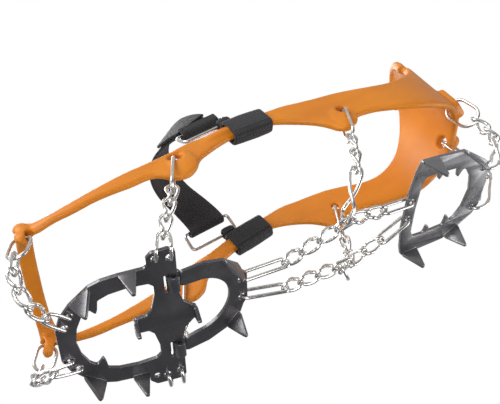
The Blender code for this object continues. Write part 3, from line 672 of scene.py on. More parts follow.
FAR_EAR = [(-18.0, 40.2), (-18.0, 46.5), (-14.5, 50.6), (-1.5, 51.0), (2.0, 48.5)]
NEAR_EAR = [(2.0, -47.5), (-1.5, -50.0), (-10.0, -49.5), (-12.8, -46.5), (-12.8, -40.2)]
RIM = [(-61.5, 11.5), (-58.5, 20.0), (-52.5, 28.0), (-42.0, 37.2), (-36.0, 39.4), (-27.0, 40.2)]
TONGUE = [(2.0, 17.6), (4.0, 10.0), (8.4, 5.3), (10.5, 4.2)]
OPENING = [
    (-22.5, 5.5),
    (-15.5, 5.9),
    (-12.8, 9.0),
    (-10.5, 19.5),
    (-10.5, 26.3),
    (-13.0, 28.8),
    (-23.0, 29.7),
    (-33.0, 28.6),
    (-38.6, 26.2),
    (-39.4, 20.0),
    (-40.4, 16.8),
    (-44.0, 21.8),
    (-47.5, 17.8),
    (-50.8, 10.0),
]
KNUCKLE_SLOT = [(-5.0, 19.6), (-2.0, 19.6), (-2.0, 31.4), (-5.0, 31.4)]
TOE_HOLES = [(-53.3, 20.3), (-56.8, 12.8)]
EAR_HOLES = [(-8.3, 45.0), (-1.0, 43.6)]
SPARE_HOLE = (-14.0, 43.4)


def front_plate():
    outer = RIM + FAR_EAR + TONGUE + mirrored(TONGUE) + NEAR_EAR + mirrored(RIM)
    opening = OPENING + [(-52.4, 0.0)] + mirrored(OPENING)
    holes = [filleted(opening, 1.7), circle(*SPARE_HOLE, 1.8)]
    for side in (1, -1):
        holes.append(filleted([(x, side * y) for x, y in KNUCKLE_SLOT], 0.7))
        for x, y in TOE_HOLES + EAR_HOLES:
            holes.append(circle(x, side * y, HOLE))
    teeth = [
        ((-42.3, 37.0), (-52.3, 28.2), TOOTH_DROP),
        ((-52.3, -28.2), (-42.3, -37.0), TOOTH_DROP),
        ((-18.2, 40.2), (-27.0, 40.2), TOOTH_DROP),
        ((-27.0, -40.2), (-18.2, -40.2), TOOTH_DROP),
        ((-22.5, 5.0), (-22.5, -5.0), SHORT_DROP),
        ((10.5, -3.8), (10.5, 3.8), SHORT_DROP),
    ]
    plate("front_plate", filleted(outer, 2.2), holes, teeth, seat(HINGE, TOE_TILT), FRONT_STEEL)


ARM = [(3.3, 30.5), (17.0, 30.0), (28.0, 26.2), (36.6, 18.2), (38.6, 12.5), (41.0, 9.5)]
INNER_ARC_X = 11.0
INNER_ARC_RADIUS = 19.3
REAR_HOLES = [(37.6, 6.8), (37.6, -6.8)]
# The knuckle's roll is open between the plate's underside and the end of the curl.
ROLL_START = -4.0
ROLL_END = 296.0


def rolled_knuckle(side):
    """The end of the sheet, rolled round the front plate's hinge bar."""
    steps = 30
    outline = []
    for radius, order in ((KNUCKLE_OUTER, 1), (KNUCKLE_BORE, -1)):
        arc = []
        for step in range(steps + 1):
            angle = math.radians(ROLL_START + (ROLL_END - ROLL_START) * step / steps)
            arc.append((radius * math.cos(angle), radius * math.sin(angle)))
        outline += arc[::order]
    mesh = sheet_mesh("roll", outline, [], KNUCKLE_WIDTH, 0.22)
    place = seat(Vector((0.0, side * KNUCKLE_Y, 0.0)))
    mesh.transform(place @ Matrix.Rotation(math.pi / 2, 4, "X"))
    return mesh


def horseshoe_plate():
    arc = []
    for step in range(25):
        angle = math.pi * (step / 24 - 0.5)
        arc.append(
            (INNER_ARC_X + INNER_ARC_RADIUS * math.cos(angle), INNER_ARC_RADIUS * math.sin(angle))
        )
    rim = (
        [(3.3, -30.5)]
        + [(x, -y) for x, y in ARM[1:]]
        + ARM[::-1]
        + [(3.3, 20.4)]
        + arc[::-1]
        + [(3.3, -20.4)]
    )
    teeth = [
        ((36.2, 18.6), (28.6, 25.6), TOOTH_DROP),
        ((28.6, -25.6), (36.2, -18.6), TOOTH_DROP),
    ]
    holes = [circle(x, y, HOLE) for x, y in REAR_HOLES]
    rolls = [rolled_knuckle(side) for side in (1, -1)]
    plate("horseshoe_plate", filleted(rim, 2.0), holes, teeth, seat(HINGE), FRONT_STEEL, rolls)


HEEL_RIM = [
    (-31.5, 0.0),
    (-31.5, 12.0),
    (-29.2, 27.0),
    (-27.0, 34.2),
    (-16.0, 33.8),
    (3.0, 32.4),
    (13.6, 25.4),
    (22.0, 19.4),
    (25.2, 13.5),
    (26.0, 0.0),
]
HEEL_OPENING = [
    (-24.3, 0.0),
    (-23.6, 17.0),
    (-21.2, 21.6),
    (-13.6, 21.8),
    (-11.8, 15.6),
    (-9.0, 21.6),
    (0.5, 21.0),
    (1.8, 13.0),
    (5.0, 19.2),
    (8.0, 17.6),
    (12.2, 11.0),
    (14.3, 0.0),
]
HEEL_FRONT_HOLES = [(-28.0, 6.2), (-28.0, -6.2)]
HEEL_REAR_HOLES = [(20.8, 14.6), (20.8, -14.6)]


def heel_plate():
    teeth = [
        ((-16.2, 33.8), (-26.4, 34.1), TOOTH_DROP),
        ((-26.4, -34.1), (-16.2, -33.8), TOOTH_DROP),
        ((12.9, 25.9), (4.2, 31.6), TOOTH_DROP),
        ((4.2, -31.6), (12.9, -25.9), TOOTH_DROP),
    ]
    holes = [filleted(both_sides(HEEL_OPENING), 1.5)]
    holes += [circle(x, y, HOLE) for x, y in HEEL_FRONT_HOLES + HEEL_REAR_HOLES]
    rim = filleted(both_sides(HEEL_RIM), 2.0)
    plate("heel_plate", rim, holes, teeth, seat(HEEL, 0.0, HEEL_YAW), HEEL_STEEL)


def on_front(x, y, z=0.0):
    """A point of the tilted front plate, in the object's own frame."""
    turned = Vector((x, y, z))
    turned.rotate(Euler((0.0, math.radians(TOE_TILT), 0.0)))
    return turned + HINGE


# The front plate's upward direction, and how far past the sheet's middle a wire's own
# middle lies where it is threaded through.
FRONT_LIFT = (on_front(0, 0, 1) - on_front(0, 0, 0)).normalized()
THREADED = SHEET / 2 + WIRE + 0.5


def on_heel(x, y, z=0.0):
    turned = Vector((x, y, z))
    turned.rotate(Euler((0.0, 0.0, math.radians(HEEL_YAW))))
    return turned + HEEL


# ---------------------------------------------------------------- chain links
def loop_points(centres, spreads, half_width, round_steps=12):
    """A closed loop of wire round a centre line.

    The two legs run half_width to each side of the centre line, along the spread
    vector of each station, and a half circle closes each end."""
    first_way = (centres[1] - centres[0]).normalized()
    last_way = (centres[-1] - centres[-2]).normalized()
    points = []
    start = centres[0] + first_way * half_width
    for step in range(round_steps + 1):
        angle = math.pi * step / round_steps
        sideways = spreads[0] * (-math.cos(angle) * half_width)
        points.append(start + sideways - first_way * (math.sin(angle) * half_width))
    for centre, spread in zip(centres[1:-1], spreads[1:-1]):
        points.append(centre + spread * half_width)
    end = centres[-1] - last_way * half_width
    for step in range(round_steps + 1):
        angle = math.pi * step / round_steps
        sideways = spreads[-1] * (math.cos(angle) * half_width)
        points.append(end + sideways + last_way * (math.sin(angle) * half_width))
    for centre, spread in zip(reversed(centres[1:-1]), reversed(spreads[1:-1])):
        points.append(centre - spread * half_width)
    return points


def square_to(vector, way):
    return (vector - way * vector.dot(way)).normalized()


def link_points(start, end, outward, turns):
    """The wire of one link, between the two far points of its centre line.

    turns gives the angle of the link's plane at its start and its end, in degrees:
    0 lies flat on the boot, 90 stands on edge. A link with unequal turns is twisted."""
    way = (end - start).normalized()
    normal = square_to(outward, way)
    across = way.cross(normal)
    length = (end - start).length
    shares = [0.0, 1.0]
    if turns[0] != turns[1]:
        inner = max(length - 2 * LINK_HALF_WIDTH, 1.0) / length
        shares = [0.0] + [0.5 + inner * (step / 6 - 0.5) for step in range(1, 6)] + [1.0]
    centres = []
    spreads = []
    for share in shares:
        eased = share if len(shares) == 2 else share**2 * (3 - 2 * share)
        angle = math.radians(turns[0] + (turns[1] - turns[0]) * eased)
        centres.append(start.lerp(end, share))
        spreads.append(across * math.cos(angle) + normal * math.sin(angle))
    return loop_points(centres, spreads, LINK_HALF_WIDTH)


def hooked(joint, before, after, play):
    """Far points of two links hooked at a joint: the end of one, the start of the next."""
    way = ((joint - before).normalized() + (after - joint).normalized()).normalized()
    reach = way * (WIRE + play / 2)
    return joint + reach, joint - reach


def staple(node, start, holes, drop_points, come_from, sideways):
    """A long link whose far end is threaded up through one hole and down the next."""
    way = (come_from - start).normalized()
    spread = square_to(sideways, way)
    points = []
    crown = start + way * LINK_HALF_WIDTH
    for step in range(9):
        angle = math.pi * step / 8
        points.append(
            crown
            - spread * (math.cos(angle) * LINK_HALF_WIDTH)
            - way * (math.sin(angle) * LINK_HALF_WIDTH)
        )
    points.append(drop_points[1])
    for hole, order in ((holes[1], (-1, 1)), (holes[0], (1, -1))):
        for sign in order:
            points.append(hole + FRONT_LIFT * (sign * THREADED))
    points.append(drop_points[0])
    wire(node, flowing(points, 0.8, closed=True))


def chain_run(node, start, end, count, outward, plan):
    """Several links of one chain, as one piece."""
    way = (end - start).normalized() * (WIRE + FUSED / 2)
    meshes = []
    for step in range(count):
        first = start.lerp(end, step / count)
        last = start.lerp(end, (step + 1) / count)
        if step > 0:
            first = first - way
        if step < count - 1:
            last = last + way
        meshes.append(wire_mesh(f"{node}_{step}", link_points(first, last, outward, plan[step])))
    made = placed(f"wire_{node}", joined(node, meshes))
    return show(made, node, CHAIN_STEEL, None)


def label_of(side):
    return "far" if side > 0 else "near"


def point(x, y, z, side):
    """A point given for the near side (y < 0), mirrored for the far side."""
    return Vector((x, -side * y, z)) if side > 0 else Vector((x, y, z))


FLAT_TO_EDGE = (0, 90)
ON_EDGE = (90, 90)
TOE_HOLE_AT = (-53.7, -42.5, 52.9)
TOE_RING_HALF = 5.4
TOE_JOINTS = [
    (-62.3, -45.2, 39.2),
    (-67.2, -46.2, 29.8),
    (-69.1, -43.5, 19.6),
    (-67.0, -37.4, 12.0),
    (-61.2, -30.2, 8.4),
]
# The far chain lies round the front of the toe; given for the near side too.
FAR_TOE_JOINTS = [
    (-63.1, -45.0, 40.9),
    (-67.8, -40.2, 31.8),
    (-71.0, -31.8, 26.4),
    (-69.4, -24.0, 19.0),
    (-63.0, -18.0, 13.7),
]
# The toe lobe's thin way, which its ring passes through, on the near side.
LOBE_ACROSS = Vector((0.78, -0.31, -0.55))
FORE_HOLE_AT = (34.0, -47.0, 60.2)
FORE_RING_HALF = 4.7
FORE_JOINTS = [
    (23.0, -49.8, 39.6),
    (16.6, -51.6, 29.8),
    (9.4, -51.8, 20.0),
    (2.6, -51.6, 10.2),
]
MID_HOLE_AT = (139.5, -37.4, 59.0)
MID_RING_HALF = 4.9
MID_JOINTS = [(130.2, -39.9, 36.0), (125.4, -39.4, 25.0), (120.0, -36.6, 14.6)]
HEEL_HOLE_AT = (217.0, -14.6, 54.6)
HEEL_RING_HALF = 6.9
HEEL_JOINTS = [(219.8, -15.2, 34.8), (220.6, -14.6, 24.2), (219.2, -13.8, 14.2)]


def side_chain(kind, side, hole, ring_half, joints, outward, towards, first_turns=(0, 90)):
    """The ring and the short links of a chain up the side of the boot.

    outward is where the ring's flat side and each link face; towards is the point
    that the piece beyond them runs to. Returns where that piece starts."""
    label = label_of(side)
    hole = point(*hole, side)
    places = [point(*joint, side) for joint in joints]
    route = [hole, *places, towards]
    hooks = []
    for count in range(1, len(route) - 1):
        play = PIVOT_PLAY if count == len(route) - 2 else LINK_PLAY
        hooks.append(hooked(route[count], route[count - 1], route[count + 1], play))
    normal = square_to(outward[0], (hooks[0][0] - hole).normalized())
    loop = loop_points([hole, hooks[0][0]], [normal, normal], ring_half)
    wire(f"{kind}_ring_{label}", loop)
    for count in range(len(hooks) - 1):
        ends = (hooks[count][1], hooks[count + 1][0])
        turns = FLAT_TO_EDGE if count > 0 else first_turns
        loop = link_points(*ends, outward[count + 1], turns)
        wire(f"{kind}_link_{count + 1}_{label}", loop)
    return hooks[-1][1]


def toe_chain(side):
    label = label_of(side)
    if side < 0:
        joints = TOE_JOINTS
        outward = [(-0.3, -1.0, 0.1), (-0.3, -1.0, 0.1), (-0.6, -0.75, -0.2), (-0.45, -0.35, -0.8)]
    else:
        joints = FAR_TOE_JOINTS
        outward = [(-0.5, 0.72, -0.4), (-0.85, 0.45, -0.2), (-1.0, 0.1, -0.1), (-0.8, 0.0, -0.55)]
    outward = [point(*LOBE_ACROSS, side)] + [Vector(facing) for facing in outward]
    holes = [on_front(x, side * y) for x, y in TOE_HOLES]
    below = FRONT_LIFT * -THREADED
    towards = (holes[0] + holes[1]) / 2 + below
    last = side_chain(
        "toe", side, TOE_HOLE_AT, TOE_RING_HALF, joints, outward, towards, ON_EDGE
    )
    sideways = (holes[1] - holes[0]).normalized()
    lead = [hole + below + (last - towards).normalized() * 1.2 for hole in holes]
    staple(f"toe_staple_{label}", last, holes, lead, towards, sideways)


def fore_chain(side):
    label = label_of(side)
    aside = Vector((0.0, side * 1.0, 0.0))
    towards = Vector((FORE_JOINTS[-1][0] - 3.0, side * 52.2, 0.0))
    last = side_chain(
        "fore", side, FORE_HOLE_AT, FORE_RING_HALF, FORE_JOINTS, [aside] * 4, towards
    )
    holes = [on_front(x, side * y) for x, y in EAR_HOLES]
    lead = [Vector((hole.x, side * 52.4, hole.z - 3.2)) for hole in holes]
    sideways = Vector((1.0, 0.0, 0.0))
    staple(f"fore_staple_{label}", last, holes, lead, towards, sideways)


def bent_link(node, centres, flat):
    """A link that stands upright at its low end and is turned to flat at its top."""
    way = (centres[3] - centres[1]).normalized()
    spreads = [
        UP,
        square_to(UP, way),
        square_to(UP + square_to(flat, way), way),
        square_to(flat, way),
    ]
    wire(node, flowing(loop_points(centres, spreads, LINK_HALF_WIDTH, 8), 0.8, closed=True))


def mid_chain(side, junction):
    """Its long end link hooks round the outer leg of a link of the sole chain."""
    label = label_of(side)
    aside = Vector((0.3, side * 1.0, -0.1))
    hook = junction + Vector((0.0, -side * (2 * WIRE + 0.45 - 2.9), 0.0))
    knee = Vector((hook.x + 2.4, junction.y + side * 9.0, hook.z))
    top = side_chain("mid", side, MID_HOLE_AT, MID_RING_HALF, MID_JOINTS, [aside] * 3, knee)
    centres = [hook, knee, knee.lerp(top, 0.45), top]
    bent_link(f"mid_long_link_{label}", centres, Vector((1.0, 0.0, 0.0)))


def heel_chain(side):
    """Its end link is threaded through the hole at the heel plate's rear edge."""
    label = label_of(side)
    back = Vector((0.8, side * 0.6, 0.0))
    hole = on_heel(*HEEL_REAR_HOLES[0 if side > 0 else 1])
    away = on_heel(HEEL_REAR_HOLES[0][0] + 8.0, side * HEEL_REAR_HOLES[0][1])
    top = side_chain("heel", side, HEEL_HOLE_AT, HEEL_RING_HALF, HEEL_JOINTS, [back] * 3, away)
    centres = [hole, away, away.lerp(top, 0.5), top]
    bent_link(f"heel_end_link_{label}", centres, UP.cross(back))


def sole_chain(side):
    """From the horseshoe plate to the heel plate, with the mid chain hooked on halfway."""
    label = label_of(side)
    rear_hole = on_heel(*HEEL_FRONT_HOLES[0 if side > 0 else 1])
    front_hole = Vector((REAR_HOLES[0][0] + HINGE.x, side * REAR_HOLES[0][1], HINGE.z))
    low = -2.4
    begin = Vector((64.6, side * 9.8, low))
    junction = Vector((106.0, 13.0 if side > 0 else -21.0, low))
    finish = Vector((127.2, 6.4 if side > 0 else -16.2, low + 0.3))
    first = hooked(begin, front_hole, junction, LINK_PLAY)
    middle = hooked(junction, begin, finish, PIVOT_PLAY)
    last = hooked(finish, junction, rear_hole, LINK_PLAY)
    wire(f"sole_front_link_{label}", loop_points([front_hole, first[0]], [UP, UP], LINK_HALF_WIDTH))
    plan = [FLAT_TO_EDGE, FLAT_TO_EDGE, FLAT_TO_EDGE, (0, 0)]
    chain_run(f"sole_front_run_{label}", first[1], middle[0], 4, DOWN, plan)
    chain_run(f"sole_rear_run_{label}", middle[1], last[0], 2, DOWN, [(90, 0), (90, 0)])
    wire(f"sole_rear_link_{label}", loop_points([last[1], rear_hole], [UP, UP], LINK_HALF_WIDTH))
    return junction.lerp(begin, 0.5 / 4)


# ---------------------------------------------------------------- rubber harness
# Outer face of the band on the near side: x, half width, lower edge, upper edge.
BAND = [
    (-38.0, 48.4, 50.8, 56.0),
    (-28.0, 50.0, 50.4, 56.6),
    (-14.0, 51.4, 51.4, 58.2),
    (4.0, 51.8, 51.2, 61.0),
    (22.0, 50.8, 51.0, 63.6),
    (25.6, 50.5, 47.6, 64.2),
    (29.5, 50.2, 45.4, 64.9),
    (34.0, 49.8, 44.6, 65.8),
    (38.5, 49.3, 46.0, 67.2),
    (43.0, 48.8, 49.6, 68.6),
    (47.0, 48.3, 54.4, 69.6),
    (56.0, 47.4, 59.0, 70.8),
    (69.0, 46.2, 63.6, 73.8),
    (99.0, 43.0, 66.8, 77.0),
    (112.0, 41.6, 61.4, 78.0),
    (121.0, 41.0, 55.6, 77.0),
    (126.0, 40.7, 50.6, 76.6),
    (130.0, 40.4, 45.4, 76.2),
    (135.0, 40.2, 43.4, 75.8),
    (139.5, 40.0, 46.0, 75.4),
    (144.0, 40.0, 50.4, 74.8),
    (154.0, 40.0, 50.4, 72.6),
    (166.0, 40.0, 46.6, 69.4),
    (178.0, 38.6, 43.4, 68.4),
    (188.0, 36.4, 41.8, 70.6),
    (197.0, 33.0, 41.4, 75.0),
    (205.0, 28.4, 42.2, 82.0),
    (212.0, 22.4, 43.6, 91.0),
    (217.6, 15.0, 45.6, 101.0),
    (221.0, 7.5, 47.6, 111.0),
    (222.4, 0.0, 48.6, 116.0),
]
# Middle of the toe strap's outer face, its width and thickness, the way it faces, and
# how far it is turned from lying over the toe to the lobe's own way.
TOE_ARCH = [
    ((-57.9, -46.2, 48.1), 3.0, 5.0, (0.0, -1.0, 0.0), 1.0),
    ((-57.0, -46.9, 49.9), 5.6, 8.0, (0.0, -1.0, 0.0), 1.0),
    ((-54.8, -46.2, 53.6), 6.6, 8.0, (0.0, -1.0, 0.0), 1.0),
    ((-52.4, -45.2, 57.0), 9.0, 6.6, (0.0, -1.0, 0.2), 0.6),
    ((-51.0, -42.8, 60.6), 11.0, 5.0, (0.0, -0.8, 0.6), 0.15),
    ((-51.2, -38.4, 63.0), 10.0, 4.5, (0.0, -0.45, 0.9), 0.0),
    ((-51.6, -30.0, 65.2), 9.0, 4.5, (0.0, -0.18, 1.0), 0.0),
    ((-52.0, -15.0, 66.4), 9.0, 4.5, (0.0, -0.05, 1.0), 0.0),
    ((-52.0, 0.0, 66.8), 9.0, 4.5, (0.0, 0.0, 1.0), 0.0),
]


def band_station(x):
    """Half width, lower and upper edge of the side band at x, between the stations."""
    for before, after in zip(BAND, BAND[1:]):
        if before[0] <= x <= after[0]:
            share = (x - before[0]) / (after[0] - before[0])
            return [a + (b - a) * share for a, b in zip(before[1:], after[1:])]
    raise ValueError(f"no band at {x}")


def strip_section(place, inward, across, half, thickness=RUBBER):
    """A rounded section: place is the middle of its outer face, across its long way."""
    corner = min(1.9, thickness * 0.42, half * 0.8)
    middle = place + inward * (thickness / 2)
    return [
        middle + inward * deep + across * wide
        for deep, wide in rounded_rectangle(thickness / 2, half, corner)
    ]


def band_mesh():
    """The band all the way round the heel, from forefoot to forefoot."""
    near = [(x, -half, low, high) for x, half, low, high in BAND]
    far = [(x, half, low, high) for x, half, low, high in reversed(BAND[:-1])]
    start = [(-54.0, -44.6, 53.2, 58.4), (-49.5, -45.4, 51.2, 57.6)]
    end = [(x, -half, low, high) for x, half, low, high in reversed(start)]
    rows = flowing([*start, *near, *far, *end], 1.8)
    sections = []
    for index, (x, y, low, high) in enumerate(rows):
        before = rows[max(index - 1, 0)]
        after = rows[min(index + 1, len(rows) - 1)]
        way = Vector((after[0] - before[0], after[1] - before[1], 0.0)).normalized()
        inward = Vector((-way.y, way.x, 0.0))
        place = Vector((x, y, (low + high) / 2))
        sections.append(strip_section(place, inward, UP, (high - low) / 2))
    return skin("band", sections)


def toe_arch_mesh():
    near = [(*place, *sizes, *facing, turned) for place, *sizes, facing, turned in TOE_ARCH]
    far = [(x, -y, z, *sizes, u, -v, w, t) for x, y, z, *sizes, u, v, w, t in reversed(near[:-1])]
    sections = []
    for row in flowing([*near, *far], 1.4):
        place = Vector(row[:3])
        turned = min(max(row[8], 0.0), 1.0)
        lobe_way = point(*LOBE_ACROSS, 1 if place.y > 0 else -1)
        across = Vector((1.0, 0.0, 0.0)).lerp(lobe_way, turned).normalized()
        inward = -square_to(Vector(row[5:8]), across)
        sections.append(strip_section(place, inward, across, row[3] / 2, row[4]))
    return skin("toe_arch", sections)


def lump(centre, radii, yaw=0.0, pitch=0.0):
    """A smooth ellipsoid, to raise or to scoop the rubber."""
    work = bmesh.new()
    bmesh.ops.create_uvsphere(work, u_segments=28, v_segments=16, radius=1.0)
    mesh = mesh_from(work, "lump")
    turn = Euler((0.0, math.radians(pitch), math.radians(yaw))).to_matrix().to_4x4()
    size = Matrix.Diagonal((*(Vector(radii) * MM), 1.0))
    mesh.transform(Matrix.Translation(Vector(centre) * MM) @ turn @ size)
    return mesh


def hole_mesh(centre, axis, radius, depth, flare, stretch=1.0):
    """A hole's cutter: a spool, wider where it meets the two faces."""
    sections = []
    across = square_to(UP.cross(axis), axis)
    rise = axis.cross(across)
    for share in (-1.0, -0.62, -0.42, -0.2, 0.2, 0.42, 0.62, 1.0):
        wide = radius + flare * min(1.0, abs(share) / 0.62) ** 3
        section = []
        for step in range(24):
            angle = 2 * math.pi * step / 24
            section.append(
                centre
                + axis * (share * depth / 2)
                + across * (math.cos(angle) * wide * stretch)
                + rise * (math.sin(angle) * wide)
            )
        sections.append(section)
    return skin("hole", sections)


HEEL_WAY = Vector((0.856, 0.517, 0.0))
HEEL_PAD_THICKNESS = 5.0


def heel_way(side):
    return Vector((HEEL_WAY.x, side * HEEL_WAY.y, 0.0))


def heel_lobe(side):
    """The thick end block of a heel lobe."""
    outward = heel_way(side)
    across = UP.cross(outward)
    centre = Vector((217.6, side * 15.0, 54.8)) + outward * 0.4
    sections = []
    for step in range(7):
        depth = (step / 6 - 0.5) * HEEL_PAD_THICKNESS
        shrink = 1.0 - 0.10 * abs(step / 3 - 1) ** 3
        sections.append(
            [
                centre + outward * depth + across * (a * shrink) + UP * (b * shrink)
                for a, b in rounded_rectangle(8.0, 9.0, 3.4)
            ]
        )
    return skin("heel_lobe", sections)


def heel_bead():
    """The thick rolled rim along the top of the heel's pull tab."""
    points = [
        (213.0, -15.6, 98.0),
        (216.4, -12.2, 105.6),
        (218.6, -8.0, 111.4),
        (219.6, -3.6, 113.6),
        (219.6, 3.6, 113.6),
        (218.6, 8.0, 111.4),
        (216.4, 12.2, 105.6),
        (213.0, 15.6, 98.0),
    ]
    return wire_mesh("heel_bead", flowing(points, 1.5), 2.9, closed=False)


def harness():
    """Band, toe strap and lobes as one moulding, cut for the rings and then smoothed."""
    raised = [band_mesh(), toe_arch_mesh(), heel_bead()]
    cut_away = []
    for side in (-1, 1):
        raised.append(heel_lobe(side))
        raised.append(lump((35.5, side * 48.6, 55.6), (9.5, 2.7, 9.6)))
        raised.append(lump((136.4, side * 38.9, 54.0), (8.8, 2.5, 10.4)))
        raised.append(lump((-53.2, side * 43.6, 56.4), (4.6, 3.2, 4.4)))
        raised.append(lump((58.0, side * 45.4, 66.6), (18.0, 2.9, 3.0), side * 4.0, -11.0))
        aside = Vector((0.0, side, 0.0))
        fore = point(*FORE_HOLE_AT, side) + Vector((0.9, 0.0, 0.2))
        cut_away.append(hole_mesh(fore, aside, LOBE_HOLE, 9.0, 1.0, 1.35))
        mid = point(*MID_HOLE_AT, side)
        cut_away.append(hole_mesh(mid, aside, LOBE_HOLE, 9.0, 1.0))
        toe = point(*TOE_HOLE_AT, side)
        joint = point(*(TOE_JOINTS if side < 0 else FAR_TOE_JOINTS)[0], side)
        way = (joint - toe).normalized()
        axis = square_to(point(*LOBE_ACROSS, side), way)
        cut_away.append(hole_mesh(toe + way * 0.45, axis, TOE_LOBE_HOLE, 10.0, 0.5))
        heel = point(*HEEL_HOLE_AT, side) + DOWN * 0.7
        cut_away.append(hole_mesh(heel, heel_way(side), HEEL_LOBE_HOLE, 12.0, 0.9))
        groove = (40.0, side * 50.2, 63.2)
        cut_away.append(lump(groove, (11.0, 1.5, 0.9), side * 6.0, -15.0))
        cut_away.append(lump((42.0, side * 50.5, 60.8), (2.6, 1.1, 0.8), side * 6.0, -38.0))
    body = placed("rubber_harness", joined("rubber", raised))
    remesh_finely(body, RUBBER_VOXEL)
    cutter = placed("ring_holes", joined("cuts", cut_away))
    remesh_finely(cutter, RUBBER_VOXEL / 2)
    combine(body, cutter.data, "DIFFERENCE")
    bpy.data.objects.remove(cutter, do_unlink=True)
    remesh_finely(body, RUBBER_VOXEL)
    ease = body.modifiers.new("ease", "SMOOTH")
    ease.factor = 0.5
    ease.iterations = 12
    body.data = evaluated_mesh_of(body)
    body.modifiers.clear()
    finished(body, ORANGE_RUBBER)
    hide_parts("harness_front", "harness_rear", "harness_band_near", "harness_band_far")
    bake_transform(body)


def remesh_finely(body, voxel):
    remesh = body.modifiers.new("remesh", "REMESH")
    remesh.mode = "VOXEL"
    remesh.voxel_size = voxel * MM
    body.data = evaluated_mesh_of(body)
    body.modifiers.clear()


# ---------------------------------------------------------------- instep strap
BAND_A = (69.0, *band_station(69.0))
BAND_B = (99.0, *band_station(99.0))
BAND_HALF = (BAND_A[3] - BAND_A[2]) / 2
HOLE_HALF = BAND_HALF + SLEEVE_PLAY
SLEEVE_TOP = HOLE_HALF + WEBBING
BAR_LEVEL = SLEEVE_TOP + WIRE + 0.7
TURN_RADIUS = WIRE + 0.8 + STRAP_THICKNESS / 2


def sleeve_frame(side):
    """Origin on the band's centre line at the sleeve, and its three directions."""
    start = Vector((BAND_A[0], side * (BAND_A[1] - RUBBER / 2), (BAND_A[2] + BAND_A[3]) / 2))
    end = Vector((BAND_B[0], side * (BAND_B[1] - RUBBER / 2), (BAND_B[2] + BAND_B[3]) / 2))
    along = (end - start).normalized()
    middle = start.lerp(end, (SLEEVE_X - BAND_A[0]) / (BAND_B[0] - BAND_A[0]))
    outward = square_to(Vector((0.0, side, 0.0)), along)
    up = square_to(square_to(UP, along), outward)
    return middle, along, up, outward


def bar_frame(side):
    """The same for the strap ring's bar, which runs straight fore and aft."""
    middle, along, _, _ = sleeve_frame(side)
    along = Vector((along.x, 0.0, along.z)).normalized()
    return middle, along, square_to(UP, along), Vector((0.0, side, 0.0))


def tape_tube(name, frame_of, length, shift, outer, inner):
    """A tube of webbing with rounded lips: outer and inner are outlines of equal length."""
    middle, along, up, outward = frame_of
    lip = WEBBING / 2
    stations = []
    steps = 26
    for step in range(steps + 1):
        stations.append(((step / steps - 0.5) * (length - 2 * lip), 0.0))
    for step in range(1, 6):
        angle = math.pi * step / 6
        stations.append((length / 2 - lip + lip * math.sin(angle), 0.5 - 0.5 * math.cos(angle)))
    for step in range(steps + 1):
        stations.append(((0.5 - step / steps) * (length - 2 * lip), 1.0))
    for step in range(1, 6):
        angle = math.pi * step / 6
        stations.append((lip - length / 2 - lip * math.sin(angle), 0.5 + 0.5 * math.cos(angle)))
    sections = []
    for reach, inset in stations:
        section = []
        for (out_a, up_a), (out_b, up_b) in zip(outer, inner):
            out = out_a + (out_b - out_a) * inset
            high = up_a + (up_b - up_a) * inset
            place = middle + along * (reach + shift) + outward * out + up * high
            swell = 1.0 + 0.05 * (1.0 - inset) * math.cos(math.pi * reach / length)
            ripple = 0.16 * noise.noise(place * 0.22) * (1.0 - inset)
            centre = middle + along * (reach + shift)
            away = place - centre
            section.append(centre + away * swell + away.normalized() * ripple)
        sections.append(section)
    return skin(name, sections, closed_along=True)


def circle_by_corners(radius, level):
    """A circle with as many points as a rounded rectangle, in the same order."""
    points = []
    count = 20
    for step in range(count):
        quarter, part = divmod(step, count // 4)
        angle = math.pi / 2 * (quarter + part / (count // 4 - 1) * 0.9 + 0.05)
        points.append((radius * math.cos(angle), level + radius * math.sin(angle)))
    return points


def sleeve(side):
    """Webbing wrapped round the band, with a short tunnel for the strap ring's bar."""
    label = label_of(side)
    half_hole = RUBBER / 2 + SLEEVE_PLAY
    outer = rounded_rectangle(half_hole + WEBBING, SLEEVE_TOP, 3.4)
    inner = rounded_rectangle(half_hole, HOLE_HALF, 1.6)
    wrap = tape_tube("wrap", sleeve_frame(side), SLEEVE_LENGTH, 0.0, outer, inner)
    shift = (TUNNEL_LENGTH - SLEEVE_LENGTH) / 2 + 0.2
    low, high = SLEEVE_TOP - 0.9, BAR_LEVEL + WIRE + 2.0
    shell = rounded_rectangle(WIRE + 2.2, (high - low) / 2, 2.2)
    shell = [(a, b + (high + low) / 2) for a, b in shell]
    bore = circle_by_corners(WIRE + 0.65, BAR_LEVEL)
    tunnel = tape_tube("tunnel", bar_frame(side), TUNNEL_LENGTH, shift, shell, bore)
    made = placed(f"webbing_sleeve_{label}", joined("sleeve", [wrap, tunnel]))
    show(made, f"sleeve_{label}", SLEEVE_WEBBING, TAPE_SHARP)
    middle, along, up, outward = sleeve_frame(side)
    row_half = SLEEVE_TOP - 3.6
    rows = []
    for reach in (-SLEEVE_LENGTH / 2 + 2.4, SLEEVE_LENGTH / 2 - 2.4):
        face = middle + along * reach + outward * (half_hole + WEBBING + 0.12)
        rows.append((face - up * row_half, face + up * row_half, outward))
    stitches(f"sleeve_stitches_{label}", rows, "rear")


def stitches(name, rows, body):
    """Rows of lockstitch: each row runs from a start to an end on a face."""
    meshes = []
    for start, end, normal in rows:
        way = (end - start).normalized()
        count = int((end - start).length / STITCH_PITCH)
        for index in range(count):
            middle = start + way * (STITCH_PITCH * (index + 0.5))
            points = [
                middle + way * (share * STITCH_LENGTH / 2) + normal * (0.12 - 0.28 * share**2)
                for share in (-1.0, -0.6, 0.0, 0.6, 1.0)
            ]
            meshes.append(wire_mesh(name, points, STITCH_RADIUS, closed=False))
    made = placed(name, joined(name, meshes))
    finished(made, THREAD)
    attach(made, body)


